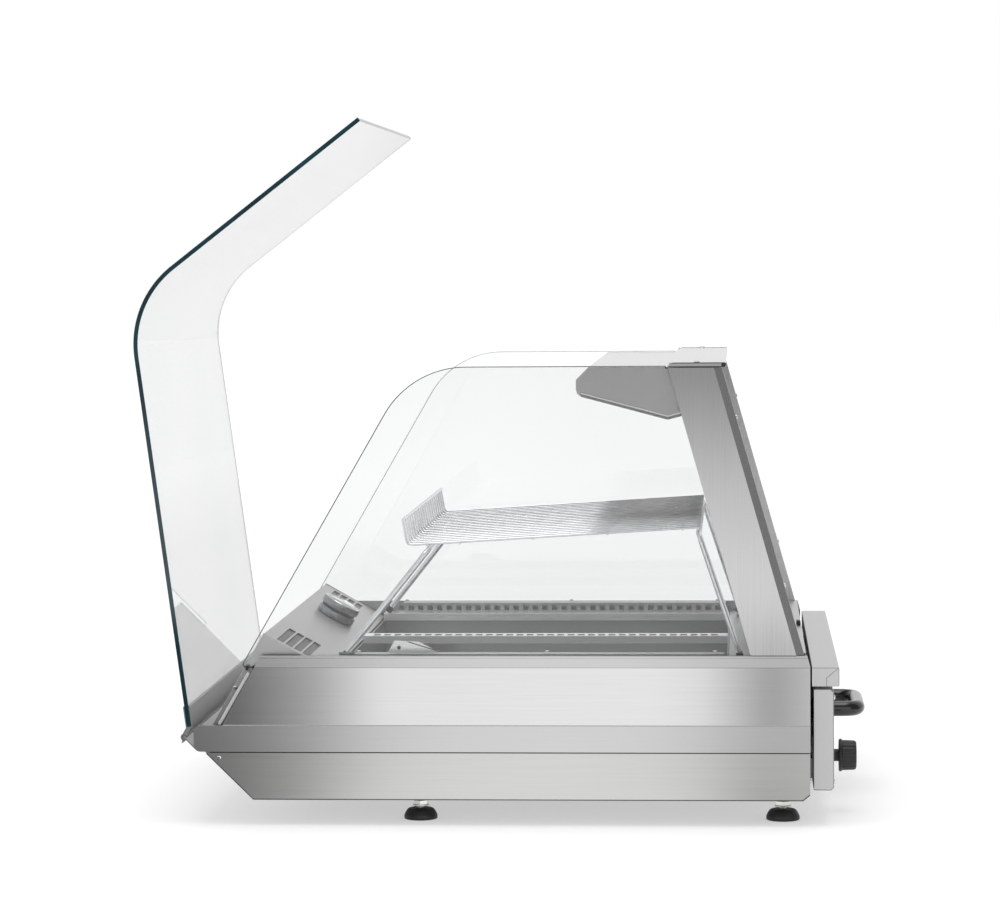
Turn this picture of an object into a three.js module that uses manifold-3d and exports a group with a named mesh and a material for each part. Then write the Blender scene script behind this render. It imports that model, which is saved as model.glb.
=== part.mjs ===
// Countertop hot food display case: casing, tilting curved front glass, two rear
// sliding doors, slide-out heating unit, lamp canopy, wire shelf and pan well.
// Millimetres. X runs across the width, +Y to the operator side, +Z up.
import * as THREE from 'three';
import { mergeVertices } from 'three/addons/utils/BufferGeometryUtils.js';
import Module from 'manifold-3d';

const wasm = await Module();
wasm.setup();

// Driving dimensions
const GAP = 0.3;
const HALF = 400;             // half the overall width
const PANEL_IN = 394;         // inner face of the side panels
const TRAY_Z = 36;            // underside of the base
const SEAM_Z = 101.6;         // top of the base tray
const PANEL_TOP = 235;
const REAR_Y = 419.8;
const GLASS = 6;
const GLASS_HALF = 391;       // half width of the front glass
const PIVOT = [-441, 121];    // front hinge axis (Y, Z)
const OPEN_DEG = 97.53;       // lean of the open lower glass
const BEND_DEG = 37.8;        // lean of its upper part
const BEND_R = 137;
const POST_TILT = 15.76;      // rear posts and doors lean forward
const POST_BASE = [338.1, 235.3];
const POST_TOP = 628.3;
const RAIL_TOP = 222.6;       // pans rest here
const WELL = { y0: -234, y1: 308.4, x: 357, floor: 150 };
const DECK = { x: 325, front: [-132, 381.7], rear: [270, 405.6] };
const DOOR = { thick: 5, s0: 4, s1: 384, inner: 29, outer: 43.5 };
const FOOT = { x: 330, front: -119.7, rear: 383 };
const BOX = { x: 388, y0: 424.3, y1: 452, z0: 49, z1: 188 };
const KNOB = { x: 250, z: 78.8 };
const DIAL = { x: -98, y: -285.7, z: 238.65 };

const rad = (d) => (d * Math.PI) / 180;

// Solids by boolean
function toManifold(geo) {
  const g = new THREE.BufferGeometry();
  g.setAttribute('position', geo.getAttribute('position').clone());
  if (geo.index) g.setIndex(geo.index.clone());
  const m = mergeVertices(g, 1e-4);
  const mesh = new wasm.Mesh({
    numProp: 3,
    vertProperties: new Float32Array(m.getAttribute('position').array),
    triVerts: new Uint32Array(m.index.array),
  });
  mesh.merge();
  return new wasm.Manifold(mesh);
}

function fromManifold(man) {
  const mesh = man.getMesh();
  const g = new THREE.BufferGeometry();
  g.setAttribute('position', new THREE.BufferAttribute(new Float32Array(mesh.vertProperties), 3));
  g.setIndex(new THREE.BufferAttribute(new Uint32Array(mesh.triVerts), 1));
  return g;
}

function union(list) {
  let out = toManifold(list[0]);
  for (const g of list.slice(1)) out = out.add(toManifold(g));
  return fromManifold(out);
}

function cut(base, tools) {
  let out = toManifold(base);
  for (const g of tools) out = out.subtract(toManifold(g));
  return fromManifold(out);
}

function common(a, b) {
  return fromManifold(toManifold(a).intersect(toManifold(b)));
}

// Prisms
function extrude(points, depth, basis, holes = []) {
  const shape = new THREE.Shape(points.map((p) => new THREE.Vector2(p[0], p[1])));
  for (const h of holes) shape.holes.push(new THREE.Path(h.map((p) => new THREE.Vector2(p[0], p[1]))));
  const g = new THREE.ExtrudeGeometry(shape, { depth, bevelEnabled: false, curveSegments: 12 });
  return basis ? g.applyMatrix4(basis) : g;
}

const v3 = (x, y, z) => new THREE.Vector3(x, y, z);
const BASIS_X = new THREE.Matrix4().makeBasis(v3(0, 1, 0), v3(0, 0, 1), v3(1, 0, 0));
const BASIS_Y = new THREE.Matrix4().makeBasis(v3(1, 0, 0), v3(0, 0, 1), v3(0, -1, 0));

// points are (Y, Z), swept along X
function prismX(points, x0, x1, holes = []) {
  return extrude(points, x1 - x0, BASIS_X, holes).translate(x0, 0, 0);
}

// points are (X, Z), swept along Y
function prismY(points, y0, y1, holes = []) {
  return extrude(points, y1 - y0, BASIS_Y, holes).translate(0, y1, 0);
}

// points are (X, Y), swept along Z
function prismZ(points, z0, z1, holes = []) {
  return extrude(points, z1 - z0, null, holes).translate(0, 0, z0);
}

function box(x0, x1, y0, y1, z0, z1) {
  const g = new THREE.BoxGeometry(x1 - x0, y1 - y0, z1 - z0);
  return g.translate((x0 + x1) / 2, (y0 + y1) / 2, (z0 + z1) / 2);
}

// Round bar between two points
function rod(a, b, r, seg = 12, r2 = r) {
  const from = v3(...a);
  const dir = v3(...b).sub(from);
  const g = new THREE.CylinderGeometry(r2, r, dir.length(), seg);
  g.translate(0, dir.length() / 2, 0);
  g.applyQuaternion(new THREE.Quaternion().setFromUnitVectors(v3(0, 1, 0), dir.normalize()));
  return g.translate(from.x, from.y, from.z);
}

// Curve through given points, sampled at the points themselves
class Stations extends THREE.Curve {
  constructor(points) {
    super();
    this.points = points;
  }

  getPoint(t, target = new THREE.Vector3()) {
    return target.copy(this.points[Math.round(t * (this.points.length - 1))]);
  }

  getPointAt(u, target) {
    return this.getPoint(u, target);
  }

  getTangentAt(u, target = new THREE.Vector3()) {
    const n = this.points.length - 1;
    const i = Math.round(u * n);
    const before = this.points[i].clone().sub(this.points[Math.max(i - 1, 0)]).normalize();
    const after = this.points[Math.min(i + 1, n)].clone().sub(this.points[i]).normalize();
    return target.copy(before).add(after).normalize();
  }
}

// Round section along a polyline with rounded corners
function tube(corners, r, seg = 8, bend = 10, steps = 4) {
  const p = corners.map((q) => v3(...q));
  const line = [p[0]];
  for (let i = 1; i < p.length - 1; i += 1) {
    const a = p[i].clone().add(p[i - 1].clone().sub(p[i]).setLength(bend));
    const b = p[i].clone().add(p[i + 1].clone().sub(p[i]).setLength(bend));
    line.push(...new THREE.QuadraticBezierCurve3(a, p[i], b).getPoints(steps));
  }
  line.push(p[p.length - 1]);
  const section = new THREE.Shape();
  section.absarc(0, 0, r, 0, Math.PI * 2, false);
  return new THREE.ExtrudeGeometry(section, {
    steps: line.length - 1, extrudePath: new Stations(line), curveSegments: seg / 2,
  });
}

// Sheet folded along a polyline in (Y, Z), thickness t to the left of travel
function folded(points, t) {
  const off = [];
  for (let i = 0; i < points.length; i += 1) {
    const p = points[i];
    const a = points[Math.max(i - 1, 0)];
    const b = points[Math.min(i + 1, points.length - 1)];
    const d1 = new THREE.Vector2(p[0] - a[0], p[1] - a[1]);
    const d2 = new THREE.Vector2(b[0] - p[0], b[1] - p[1]);
    if (i === 0) d1.copy(d2);
    if (i === points.length - 1) d2.copy(d1);
    d1.normalize();
    d2.normalize();
    const n1 = new THREE.Vector2(-d1.y, d1.x);
    const n2 = new THREE.Vector2(-d2.y, d2.x);
    const n = n1.clone().add(n2).normalize();
    const k = t / n.dot(n1);
    off.push([p[0] + n.x * k, p[1] + n.y * k]);
  }
  const ring = points.concat(off.reverse());
  return THREE.ShapeUtils.area(ring.map((q) => new THREE.Vector2(q[0], q[1]))) < 0 ? ring.reverse() : ring;
}

function arc(cy, cz, r, a0, a1, n) {
  const out = [];
  for (let i = 0; i <= n; i += 1) {
    const a = rad(a0 + ((a1 - a0) * i) / n);
    out.push([cy + r * Math.cos(a), cz + r * Math.sin(a)]);
  }
  return out;
}

function mirrored(geo) {
  const g = geo.clone().applyMatrix4(new THREE.Matrix4().makeScale(-1, 1, 1));
  if (!g.index) g.setIndex([...Array(g.getAttribute('position').count).keys()]);
  const idx = Array.from(g.index.array);
  for (let i = 0; i < idx.length; i += 3) [idx[i], idx[i + 1]] = [idx[i + 1], idx[i]];
  g.setIndex(idx);
  return g;
}

// Materials
const FINISH = {
  steel: [0xb9bbbc, 0.32, 1.0],
  bright: [0xd2d4d5, 0.18, 1.0],
  dark: [0x6a6c6e, 0.45, 1.0],
  glass: [0xdfeeee, 0.05, 0.0],
  black: [0x141415, 0.3, 0.0],
  rubber: [0x101010, 0.8, 0.0],
  seal: [0xc4c6c6, 0.6, 0.0],
  zinc: [0xd0d0cc, 0.25, 1.0],
  amber: [0xd98a2b, 0.25, 0.0],
  quartz: [0xe8e0d0, 0.15, 0.0],
  red: [0xb52a1e, 0.35, 0.0],
};

const root = new THREE.Group();
root.name = 'hot_food_display_case';

function add(name, geo, finish) {
  const [color, roughness, metalness] = FINISH[finish];
  const g = geo.index ? geo.toNonIndexed() : geo;
  g.deleteAttribute('uv');
  g.computeVertexNormals();
  const mesh = new THREE.Mesh(g, new THREE.MeshStandardMaterial({ color, roughness, metalness }));
  mesh.name = name;
  root.add(mesh);
}

function addPair(name, geo, finish) {
  add(`${name}_right`, geo, finish);
  add(`${name}_left`, mirrored(geo), finish);
}

// Frame of the leaning rear posts and doors: d across, s up the lean
const upY = -Math.sin(rad(POST_TILT));
const upZ = Math.cos(rad(POST_TILT));
const lean = (d, s) => [POST_BASE[0] + d * upZ + s * upY, POST_BASE[1] - d * upY + s * upZ];
const sAt = (d, z) => (z - POST_BASE[1] + d * upY) / upZ;
const leanAt = (d, z) => lean(d, sAt(d, z));

// Base tray
{
  const outer = [[-345.3, TRAY_Z], [410, TRAY_Z], [REAR_Y - 0.3, 44], [REAR_Y - 0.3, SEAM_Z], [-411.2, SEAM_Z]];
  const inner = [[-344.4, TRAY_Z + 2], [409, TRAY_Z + 2], [REAR_Y - 2.3, 45], [REAR_Y - 2.3, 120], [-427, 120]];
  const shell = cut(prismX(outer, -HALF + 0.8, HALF - 0.8), [
    prismX(inner, -HALF + 2.8, HALF - 2.8),
    box(-380, 380, 405, 430, 46, 120),
  ]);
  const lip = prismX([[-409.6, 99.6], [-384, 99.6], [-384, SEAM_Z], [-411.1, SEAM_Z]], -HALF + 2, HALF - 2);
  add('base_tray', union([shell, lip]), 'steel');
}

// Side panels
{
  const outline = [
    ...arc(-417.9, 111.2, 9, 270, 180, 5),
    ...arc(-417.9, 129.3, 9, 180, 90, 5),
    [-386.8, 138.3], [-333.2, PANEL_TOP], [REAR_Y - 4.1, PANEL_TOP], [REAR_Y, 219.9], [REAR_Y, SEAM_Z + 0.5],
  ].reverse();
  const section = [
    [PANEL_IN, 102.1], [HALF, 102.1], [HALF, 138.3], [398.6, 139.3], [397.4, 217.8], [399.2, 218.7],
    [399.2, 231.2], [HALF, 232], [HALF, 234.2], [399.2, PANEL_TOP], [PANEL_IN, PANEL_TOP],
  ];
  addPair('side_panel', common(prismX(outline, 390, 402), prismY(section, -430, 422)), 'steel');
  const dir = [Math.cos(rad(59.6)), Math.sin(rad(59.6))];
  const a = [-392.6, 138.6];
  const along = (k, w) => [a[0] + dir[0] * k + dir[1] * w, a[1] + dir[1] * k - dir[0] * w];
  addPair('panel_edge_trim', prismX([along(0, -2.4), along(0, 2.4), along(84, 2.4), along(84, -2.4)], 390.4, 393.7),
    'seal');
}

// Front hinge: fixed bead profile and the glass holder that hooks round it
const lowDir = [Math.cos(rad(OPEN_DEG)), Math.sin(rad(OPEN_DEG))];
const nearDir = [lowDir[1], -lowDir[0]];
const atHinge = (n, t) => [
  PIVOT[0] + nearDir[0] * n + lowDir[0] * t,
  PIVOT[1] + nearDir[1] * n + lowDir[1] * t,
];
{
  const bead = arc(PIVOT[0], PIVOT[1], 2.6, 0, 345, 14);
  const leaf = folded([[-441.3, 119.4], [-427.5, 105.2], [-423.5, 101.9], [-386, 101.9]], 2);
  add('hinge_fixed_profile', union([
    prismX(bead, -GLASS_HALF, GLASS_HALF),
    prismX(leaf, -GLASS_HALF, GLASS_HALF),
  ]), 'steel');

  const skew = OPEN_DEG - 90;
  const hook = [
    ...arc(PIVOT[0], PIVOT[1], 5.4, 25, 285, 20),
    ...arc(PIVOT[0], PIVOT[1], 3.2, 285, 25, 20),
  ];
  const beak = [...arc(PIVOT[0], PIVOT[1], 5.4, 232, 284, 5), [PIVOT[0] - 4.2, PIVOT[1] - 9]];
  const channel = [
    atHinge(3.7, 11.6), atHinge(13.4, 11.6), atHinge(13.4, 42), atHinge(11.9, 42),
    atHinge(11.9, 13.6), atHinge(5.2, 13.6), atHinge(5.2, 42), atHinge(3.7, 42),
  ];
  const stem = [
    ...arc(PIVOT[0], PIVOT[1], 5, 30 + skew, 120 + skew, 6), atHinge(3.7, 12.5), atHinge(10.5, 12.5),
  ];
  add('glass_holder', union([
    prismX(channel, -GLASS_HALF, GLASS_HALF),
    prismX(stem.reverse(), -GLASS_HALF, GLASS_HALF),
    prismX(hook, -GLASS_HALF, GLASS_HALF),
    prismX(beak, -GLASS_HALF, GLASS_HALF),
  ]), 'steel');
}

// Curved front glass, outer face first
{
  const face = [-440.4, 158.8];
  const apex = [-514.8, 722.1];
  const end = [-193.6, 971.3];
  const low = PIVOT[1] + 14.6;
  const foot = [face[0] + ((low - face[1]) * lowDir[0]) / lowDir[1], low];
  const run = BEND_R * Math.tan(rad((OPEN_DEG - BEND_DEG) / 2));
  const t1 = [apex[0] - lowDir[0] * run, apex[1] - lowDir[1] * run];
  const c = [t1[0] + nearDir[0] * BEND_R, t1[1] + nearDir[1] * BEND_R];
  const a0 = OPEN_DEG + 90;
  const a1 = BEND_DEG + 90;
  const endIn = [end[0] + Math.sin(rad(BEND_DEG)) * GLASS, end[1] - Math.cos(rad(BEND_DEG)) * GLASS];
  const outline = [
    foot, ...arc(c[0], c[1], BEND_R, a0, a1, 16), end,
    endIn, ...arc(c[0], c[1], BEND_R - GLASS, a1, a0, 16),
    [foot[0] + nearDir[0] * GLASS, foot[1] + nearDir[1] * GLASS],
  ].reverse();
  add('front_glass', prismX(outline, -GLASS_HALF, GLASS_HALF), 'glass');
}

// Side glasses
{
  const cot = 1 / Math.tan(rad(59.95));
  const edge = (z) => [-339.5 + (z - 257.6) * cot, z];
  const top = 630.6;
  const r = 130;
  const run = r * Math.tan(rad(59.95 / 2));
  const corner = edge(top);
  const c = [corner[0] + run, top - r];
  const outline = [
    [-357, 217], [358.3, 217], leanAt(14, POST_TOP - 0.5), [225, POST_TOP - 0.5], [225, top],
    ...arc(c[0], c[1], r, 90, 149.95, 14), edge(222),
  ];
  addPair('side_glass', prismX(outline, 384, 390), 'glass');
}

// Rear posts: folded section with a bevelled rear corner
{
  const post = [
    [0.6, 400], [60.5, 400], [71, 389.5], [71, 376], [1, 376], [1, 377.5], [69.5, 377.5],
    [69.5, 389], [60, 398.5], [0.6, 398.5],
  ].map(([d, x]) => [x, d]);
  const m = new THREE.Matrix4().makeBasis(v3(1, 0, 0), v3(0, upZ, -upY), v3(0, upY, upZ));
  const bar = extrude(post, 480, m).translate(0, POST_BASE[0] - upY * 30, POST_BASE[1] - upZ * 30);
  addPair('rear_post', common(bar, box(300, 401, 150, 470, PANEL_TOP + GAP, POST_TOP)), 'steel');
}

// Top cross rail with its pointed front edge
add('top_cross_rail', prismX([
  [226.7, 631], [233, 628.9], [303, 628.9], [306.5, 630.5], [306.5, 634.7], [233, 634.7],
], -HALF, HALF), 'bright');

// Rear sill and deck
add('rear_sill', prismX(folded([
  [414.5, 189.5], [414.5, 237.2], [343, 237.2], [343, 221], [309.3, 221],
], 1.6), -373.4, 373.4), 'steel');

// Door tracks, one groove per door
{
  const inn = DOOR.inner;
  const out = DOOR.outer;
  const d = [inn - 4.5, inn - 2.7, inn + 7.7, out - 2.7, out + 7.7, out + 9.5];
  const low = [
    leanAt(d[0] - 2, 239.2), lean(d[0], 14), lean(d[1], 14), lean(d[1], 2.6), lean(d[2], 2.6), lean(d[2], 14),
    lean(d[3], 14), lean(d[3], 2.6), lean(d[4], 2.6), lean(d[4], 14), lean(d[5], 14), leanAt(d[5], 239.2),
  ].reverse();
  add('door_track_bottom', prismX(low, -373, 373), 'steel');
  const s = 374;
  const top = [
    leanAt(d[0], POST_TOP + 0.2), lean(d[0], s), lean(d[1], s), lean(d[1], 386), lean(d[2], 386), lean(d[2], s),
    lean(d[3], s), lean(d[3], 386), lean(d[4], 386), lean(d[4], s), lean(d[5], s), leanAt(d[5], POST_TOP + 0.2),
  ];
  add('door_track_top', prismX(top, -373, 373), 'steel');
  const pane = (d0) => [lean(d0, DOOR.s0), lean(d0 + 5, DOOR.s0), lean(d0 + 5, DOOR.s1), lean(d0, DOOR.s1)];
  add('rear_door_right_glass', prismX(pane(inn), -8, 366), 'glass');
  add('rear_door_left_glass', prismX(pane(out), -366, 8), 'glass');
  const pull = (d0) => [
    lean(d0 + 5.3, 30), lean(d0 + 10.4, 30), lean(d0 + 10.4, 358), lean(d0 + 5.3, 358),
  ];
  add('rear_door_right_pull', prismX(pull(inn), 346, 362), 'steel');
  add('rear_door_left_pull', prismX(pull(out), -362, -346), 'steel');
}

// Lamp canopy, open along its sloping underside
{
  const back = (z) => leanAt(20, z);
  const outer = [
    [118.5, 628.3], [101.5, 611.3], [101.5, 598], [103.2, 592.5], [108.3, 588],
    [226.9, 556.2], [246.1, 561.1], back(566.2), back(628.3),
  ];
  const inner = [
    [119.3, 626.5], [103.3, 610.5], [103.3, 596], [110, 580], [220, 540], [262, 550], [263.4, 566.2],
    [leanAt(18, 626.5)[0], 626.5],
  ];
  const lips = [-1, 1].map((k) => {
    const x0 = k > 0 ? 361 : -371.6;
    return prismX([[108, 588.3], [226.9, 556.5], [246.1, 561.4], [262, 565.5], [262, 567],
      [246, 562.9], [226.9, 558], [108, 589.8]].reverse(), x0, x0 + 10.6);
  });
  const shell = cut(prismX([...outer].reverse(), -372.5, 372.5), [prismX([...inner].reverse(), -371, 371)]);
  add('lamp_canopy', union([shell, ...lips]), 'steel');
  add('lamp_reflector', prismX(folded([
    [232, 582], [208, 608], [150, 620], [122, 604],
  ], 1.2), -350, 350), 'bright');
  for (const [i, y] of [[1, 158], [2, 196]]) {
    const z = i === 1 ? 600 : 592;
    add(`heat_lamp_${i}`, union([
      rod([-330, y, z], [330, y, z], 5, 12),
      rod([-345, y, z], [-318, y, z], 7.5, 10),
      rod([318, y, z], [345, y, z], 7.5, 10),
    ]), 'quartz');
  }
}

// Front vent hood with two groups of four slots
const hoodDir = [Math.cos(rad(-28.7)), Math.sin(rad(-28.7))];
{
  const ridge = [-330.8, 263.3];
  const rear = [ridge[0] + 107.5 * hoodDir[0], ridge[1] + 107.5 * hoodDir[1]];
  const sheet = folded([
    [-388, 104.3], [-404.2, 104.3], [-404.2, 134.6], ridge, rear, [rear[0], 168],
  ].reverse(), 1.5);
  const slots = [];
  for (const side of [-1, 1]) {
    for (let i = 0; i < 4; i += 1) {
      const k = 18.6 + i * 13.4;
      const p = (u, w) => [ridge[0] + hoodDir[0] * u - hoodDir[1] * w, ridge[1] + hoodDir[1] * u + hoodDir[0] * w];
      slots.push(prismX([p(k, -6), p(k + 10.2, -6), p(k + 10.2, 6), p(k, 6)],
        side > 0 ? 216 : -364, side > 0 ? 364 : -216));
    }
  }
  add('front_vent_hood', cut(prismX(sheet, -378.6, 378.6), slots), 'bright');
  const cheek = [
    [-403.4, 106.5], [-389.5, 106.5], [-238, 150], [-238, 212], [-330.6, 264.8], [-403.8, 136],
  ];
  addPair('side_cheek', prismX(cheek, 380, 381.6), 'steel');
}

// Dial thermometer on the hood
{
  const up = v3(0, Math.sin(rad(28.7)), Math.cos(rad(28.7)));
  const q = new THREE.Quaternion().setFromUnitVectors(v3(0, 1, 0), up);
  const c = [DIAL.x, DIAL.y, DIAL.z];
  const profile = (list) => new THREE.LatheGeometry(list.map((p) => new THREE.Vector2(p[0], p[1])), 28);
  const place = (g) => g.applyQuaternion(q).translate(...c);
  add('thermometer_case', place(profile([
    [0, 1.2], [28.7, 1.2], [29.2, 2.4], [29.2, 11], [26.4, 12], [26.4, 14.6], [29.2, 15.6], [29.2, 25.6],
    [27.4, 26.6], [26.4, 26], [26.4, 23], [2.2, 23], [2.2, 20], [0, 20],
  ])), 'bright');
  add('thermometer_glass', place(profile([[0, 25.2], [26, 25.2], [26, 26], [0, 26.4]])), 'glass');
  const needle = union([
    profile([[0, 20.6], [1.6, 20.6], [1.6, 24], [0, 24]]),
    box(-1, 1, 23.4, 24.2, -7, 20),
  ]).rotateY(rad(135));
  add('thermometer_needle', place(needle), 'black');
}

// Pan well
{
  const { x, y0, y1, floor } = WELL;
  const slots = [];
  for (let i = 0; i < 34; i += 1) {
    const y = -212 + i * 15.1;
    slots.push(box(-x - 5, x + 5, y, y + 8.5, 224, 231.5));
  }
  const openings = [-1, 1].map((k) => box(k * 170 - 110, k * 170 + 110, -205, -150, 140, 160));
  const vents = [-1, 1].map((k) => box(k * 170 - 110, k * 170 + 110, 240, 280, 140, 160));
  const walls = cut(box(-x, x, y0, y1, floor, 235.5), [
    box(-x + 1.5, x - 1.5, y0 + 1.5, y1 - 1.5, floor + 1.5, 250),
    box(-x - 9, x + 9, y0 - 5, y0 + 5, 210, 250),
    box(-x - 9, x + 9, y1 - 5, y1 + 5, 222, 250),
    ...slots, ...openings, ...vents,
  ]);
  const decks = [-1, 1].map((k) => box(k > 0 ? x - 0.5 : -382.8, k > 0 ? 382.8 : 0.5 - x, -205, 303, 234, 235.5));
  add('well_liner', union([walls, ...decks]), 'dark');
}

// Rails under the pans
{
  const z = RAIL_TOP;
  const section = (x0, x1) => [
    [x0, z - 11.1], [x0 + 1.5, z - 11.1], [x0 + 1.5, z - 1.5], [x1 - 1.5, z - 1.5], [x1 - 1.5, z - 11.1],
    [x1, z - 11.1], [x1, z], [x0, z],
  ];
  const slots = [];
  for (let i = 0; i < 34; i += 1) {
    const y = -216 + i * 15.1;
    slots.push(box(-9, 13, y, y + 10, z - 4, z + 2));
  }
  const ends = [
    prismX([[-240, z - 20], [-225.5, z - 20], [-232.3, z + 1], [-240, z + 1]], -30, 30),
  ];
  add('centre_rail', cut(prismY(section(-20, 20), -232.3, 306.7), [...slots, ...ends]), 'bright');
  addPair('side_rail', prismY(section(315, 355.2), -232.3, 306.7), 'steel');
  const plate = folded([[-214, 152], [-206, 176], [-140, 162], [-122, 152]], 1.5);
  add('air_deflector', prismX(plate, -300, 300), 'bright');
}

// Wire shelf: long wires bent up into a front fence, bars across, four legs
{
  const [fy, fz] = DECK.front;
  const [ry, rz] = DECK.rear;
  const k = (rz - fz) / (ry - fy);
  const zAt = (y) => fz + k * (y - fy);
  const wires = [];
  const count = 20;
  for (let i = 0; i < count; i += 1) {
    const x = -DECK.x + (2 * DECK.x * i) / (count - 1);
    wires.push(tube([[x, fy - 10.5, fz + 37], [x, fy - 4, fz - 0.3], [x, ry, rz]], 1.7, 6, 8, 3));
  }
  const bars = [fy + 24, -63, 39, 142, 246, ry - 3].map((y) => {
    const z = zAt(y) - 2.2;
    return rod([-DECK.x - 2, y, z], [DECK.x + 2, y, z], 1.6, 8);
  });
  bars.push(rod([-DECK.x - 2, fy - 8.6, fz + 35.5], [DECK.x + 2, fy - 8.6, fz + 35.5], 1.6, 8));
  add('wire_shelf', union([...wires, ...bars]), 'bright');
  const top = -2.2 - 1.6 - GAP;
  const frame = (foot, footZ, head) => tube([
    [326, foot, footZ], [326, head, zAt(head) + top - 4.2], [-326, head, zAt(head) + top - 4.2], [-326, foot, footZ],
  ], 4, 10, 16);
  add('shelf_leg_front', frame(-226.5, RAIL_TOP + 2.6, -107), 'bright');
  add('shelf_leg_rear', frame(325.6, 224.2, 268), 'bright');
}

// Rear ledge above the heating unit
add('rear_ledge', cut(box(-396, 396, 422.2, 459.2, 192.7, 218.5), [
  box(-394.5, 394.5, 423.7, 457.7, 180, 217),
]), 'steel');

// Slide-out heating unit
{
  const { x, y0, y1, z0, z1 } = BOX;
  const front = [[y0, z0], [y1 - 4, z0], [y1, z0 + 4], [y1, z1 - 4], [y1 - 4, z1], [y0, z1]];
  const holes = [
    rod([KNOB.x, y1 - 6, KNOB.z], [KNOB.x, y1 + 6, KNOB.z], 5.5, 16),
    box(-296, -274, y1 - 6, y1 + 6, 64, 94),
    rod([-240, y1 - 6, KNOB.z], [-240, y1 + 6, KNOB.z], 5.5, 16),
    rod([-345, y1 - 6, KNOB.z], [-345, y1 + 6, KNOB.z], 8.5, 16),
  ];
  add('control_box', cut(prismX(front, -x, x), [
    box(-x + 1.5, x - 1.5, y0 - 5, y1 - 1.5, z0 + 1.5, z1 - 1.5), ...holes,
  ]), 'steel');

  add('heater_drawer_tray', union([
    cut(box(-350, 350, -165, 424, 60, 88), [box(-348.5, 348.5, -163.5, 422.5, 61.5, 100)]),
  ]), 'dark');
  const loop = (k) => tube([
    [k * 60, 404, 104], [k * 60, 60, 104], [k * 60, -130, 104], [k * 180, -130, 104], [k * 180, 330, 104],
    [k * 300, 330, 104], [k * 300, -130, 104], [k * 330, -130, 104], [k * 330, 404, 104],
  ], 4, 8, 22);
  add('heating_element_right', loop(1), 'dark');
  add('heating_element_left', loop(-1), 'dark');
  add('fan_motor', union([
    rod([0, 230, 61.9], [0, 230, 84], 34, 20),
    rod([0, 230, 83], [0, 230, 96], 4, 12),
  ]), 'black');
  const blades = [];
  for (let i = 0; i < 8; i += 1) {
    const blade = box(10, 46, -0.8, 0.8, 92, 112);
    blade.rotateZ((i * Math.PI) / 4);
    blades.push(blade.translate(0, 230, 0));
  }
  add('fan_impeller', cut(union([rod([0, 230, 88], [0, 230, 93], 48, 24), rod([0, 230, 88], [0, 230, 104], 12, 16),
    ...blades]), [rod([0, 230, 80], [0, 230, 97], 4.4, 12)]), 'zinc');

  const bar = tube([
    [75, y1 + GAP, 122.3], [75, 494.7, 122.3], [-75, 494.7, 122.3], [-75, y1 + GAP, 122.3],
  ], 11, 16, 24, 6);
  add('drawer_handle', bar, 'black');
  const seat = [[0, 0], [8.6, 0], [8.6, 9.9], [22.8, 9.9], [22.8, 30], [20.6, 34.2], [0, 34.6]];
  const knob = new THREE.LatheGeometry(seat.map((p) => new THREE.Vector2(p[0], p[1])), 24);
  add('thermostat_knob', knob.translate(0, y1 + GAP, 0).translate(KNOB.x, 0, KNOB.z), 'black');
  add('switch_frame', cut(union([
    box(-298, -272, y1 + GAP, y1 + 2.3, 62, 96), box(-295.7, -274.3, 430, y1 + 1, 64.3, 93.7),
  ]), [box(-294, -276, 434, y1 + 5, 66, 92)]), 'black');
  const rocker = [[y1 - 11, 75], [y1 - 11, 83], [y1 + 4.6, 90.5], [y1 + 1.2, 79], [y1 + 2.4, 68.2], [y1 - 2, 67.6]];
  add('power_switch', prismX(rocker, -293, -277), 'red');
  add('pilot_lamp', union([
    rod([-240, 436, KNOB.z], [-240, y1 + 1, KNOB.z], 5, 16),
    rod([-240, y1 + GAP, KNOB.z], [-240, y1 + 3.5, KNOB.z], 7, 16, 5.5),
  ]), 'amber');
  add('cable_gland', cut(union([
    rod([-345, 438, KNOB.z], [-345, y1 + 1, KNOB.z], 8, 18),
    rod([-345, y1 + GAP, KNOB.z], [-345, y1 + 5, KNOB.z], 12, 6),
    rod([-345, y1 + 4, KNOB.z], [-345, y1 + 13, KNOB.z], 9.5, 18, 8),
  ]), [rod([-345, 430, KNOB.z], [-345, y1 + 20, KNOB.z], 4, 14)]), 'black');
}

// Levelling feet
for (const [tag, y] of [['front', FOOT.front], ['rear', FOOT.rear]]) {
  const pad = new THREE.LatheGeometry([
    [0, 0], [21.4, 0], [23.2, 1.6], [22.8, 6], [17.5, 17.6], [14.5, 19.6], [0, 19.6],
  ].map((p) => new THREE.Vector2(p[0], p[1])), 24).rotateX(Math.PI / 2).translate(FOOT.x, y, 0);
  addPair(`foot_${tag}_pad`, pad, 'rubber');
  addPair(`foot_${tag}_stud`, union([
    rod([FOOT.x, y, 19.9], [FOOT.x, y, TRAY_Z - GAP], 4.5, 12),
    rod([FOOT.x, y, 28.8], [FOOT.x, y, TRAY_Z - GAP], 10.6, 6),
  ]), 'zinc');
}

export default root;
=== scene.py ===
import bpy, bmesh, math
from mathutils import Matrix, Vector


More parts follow.
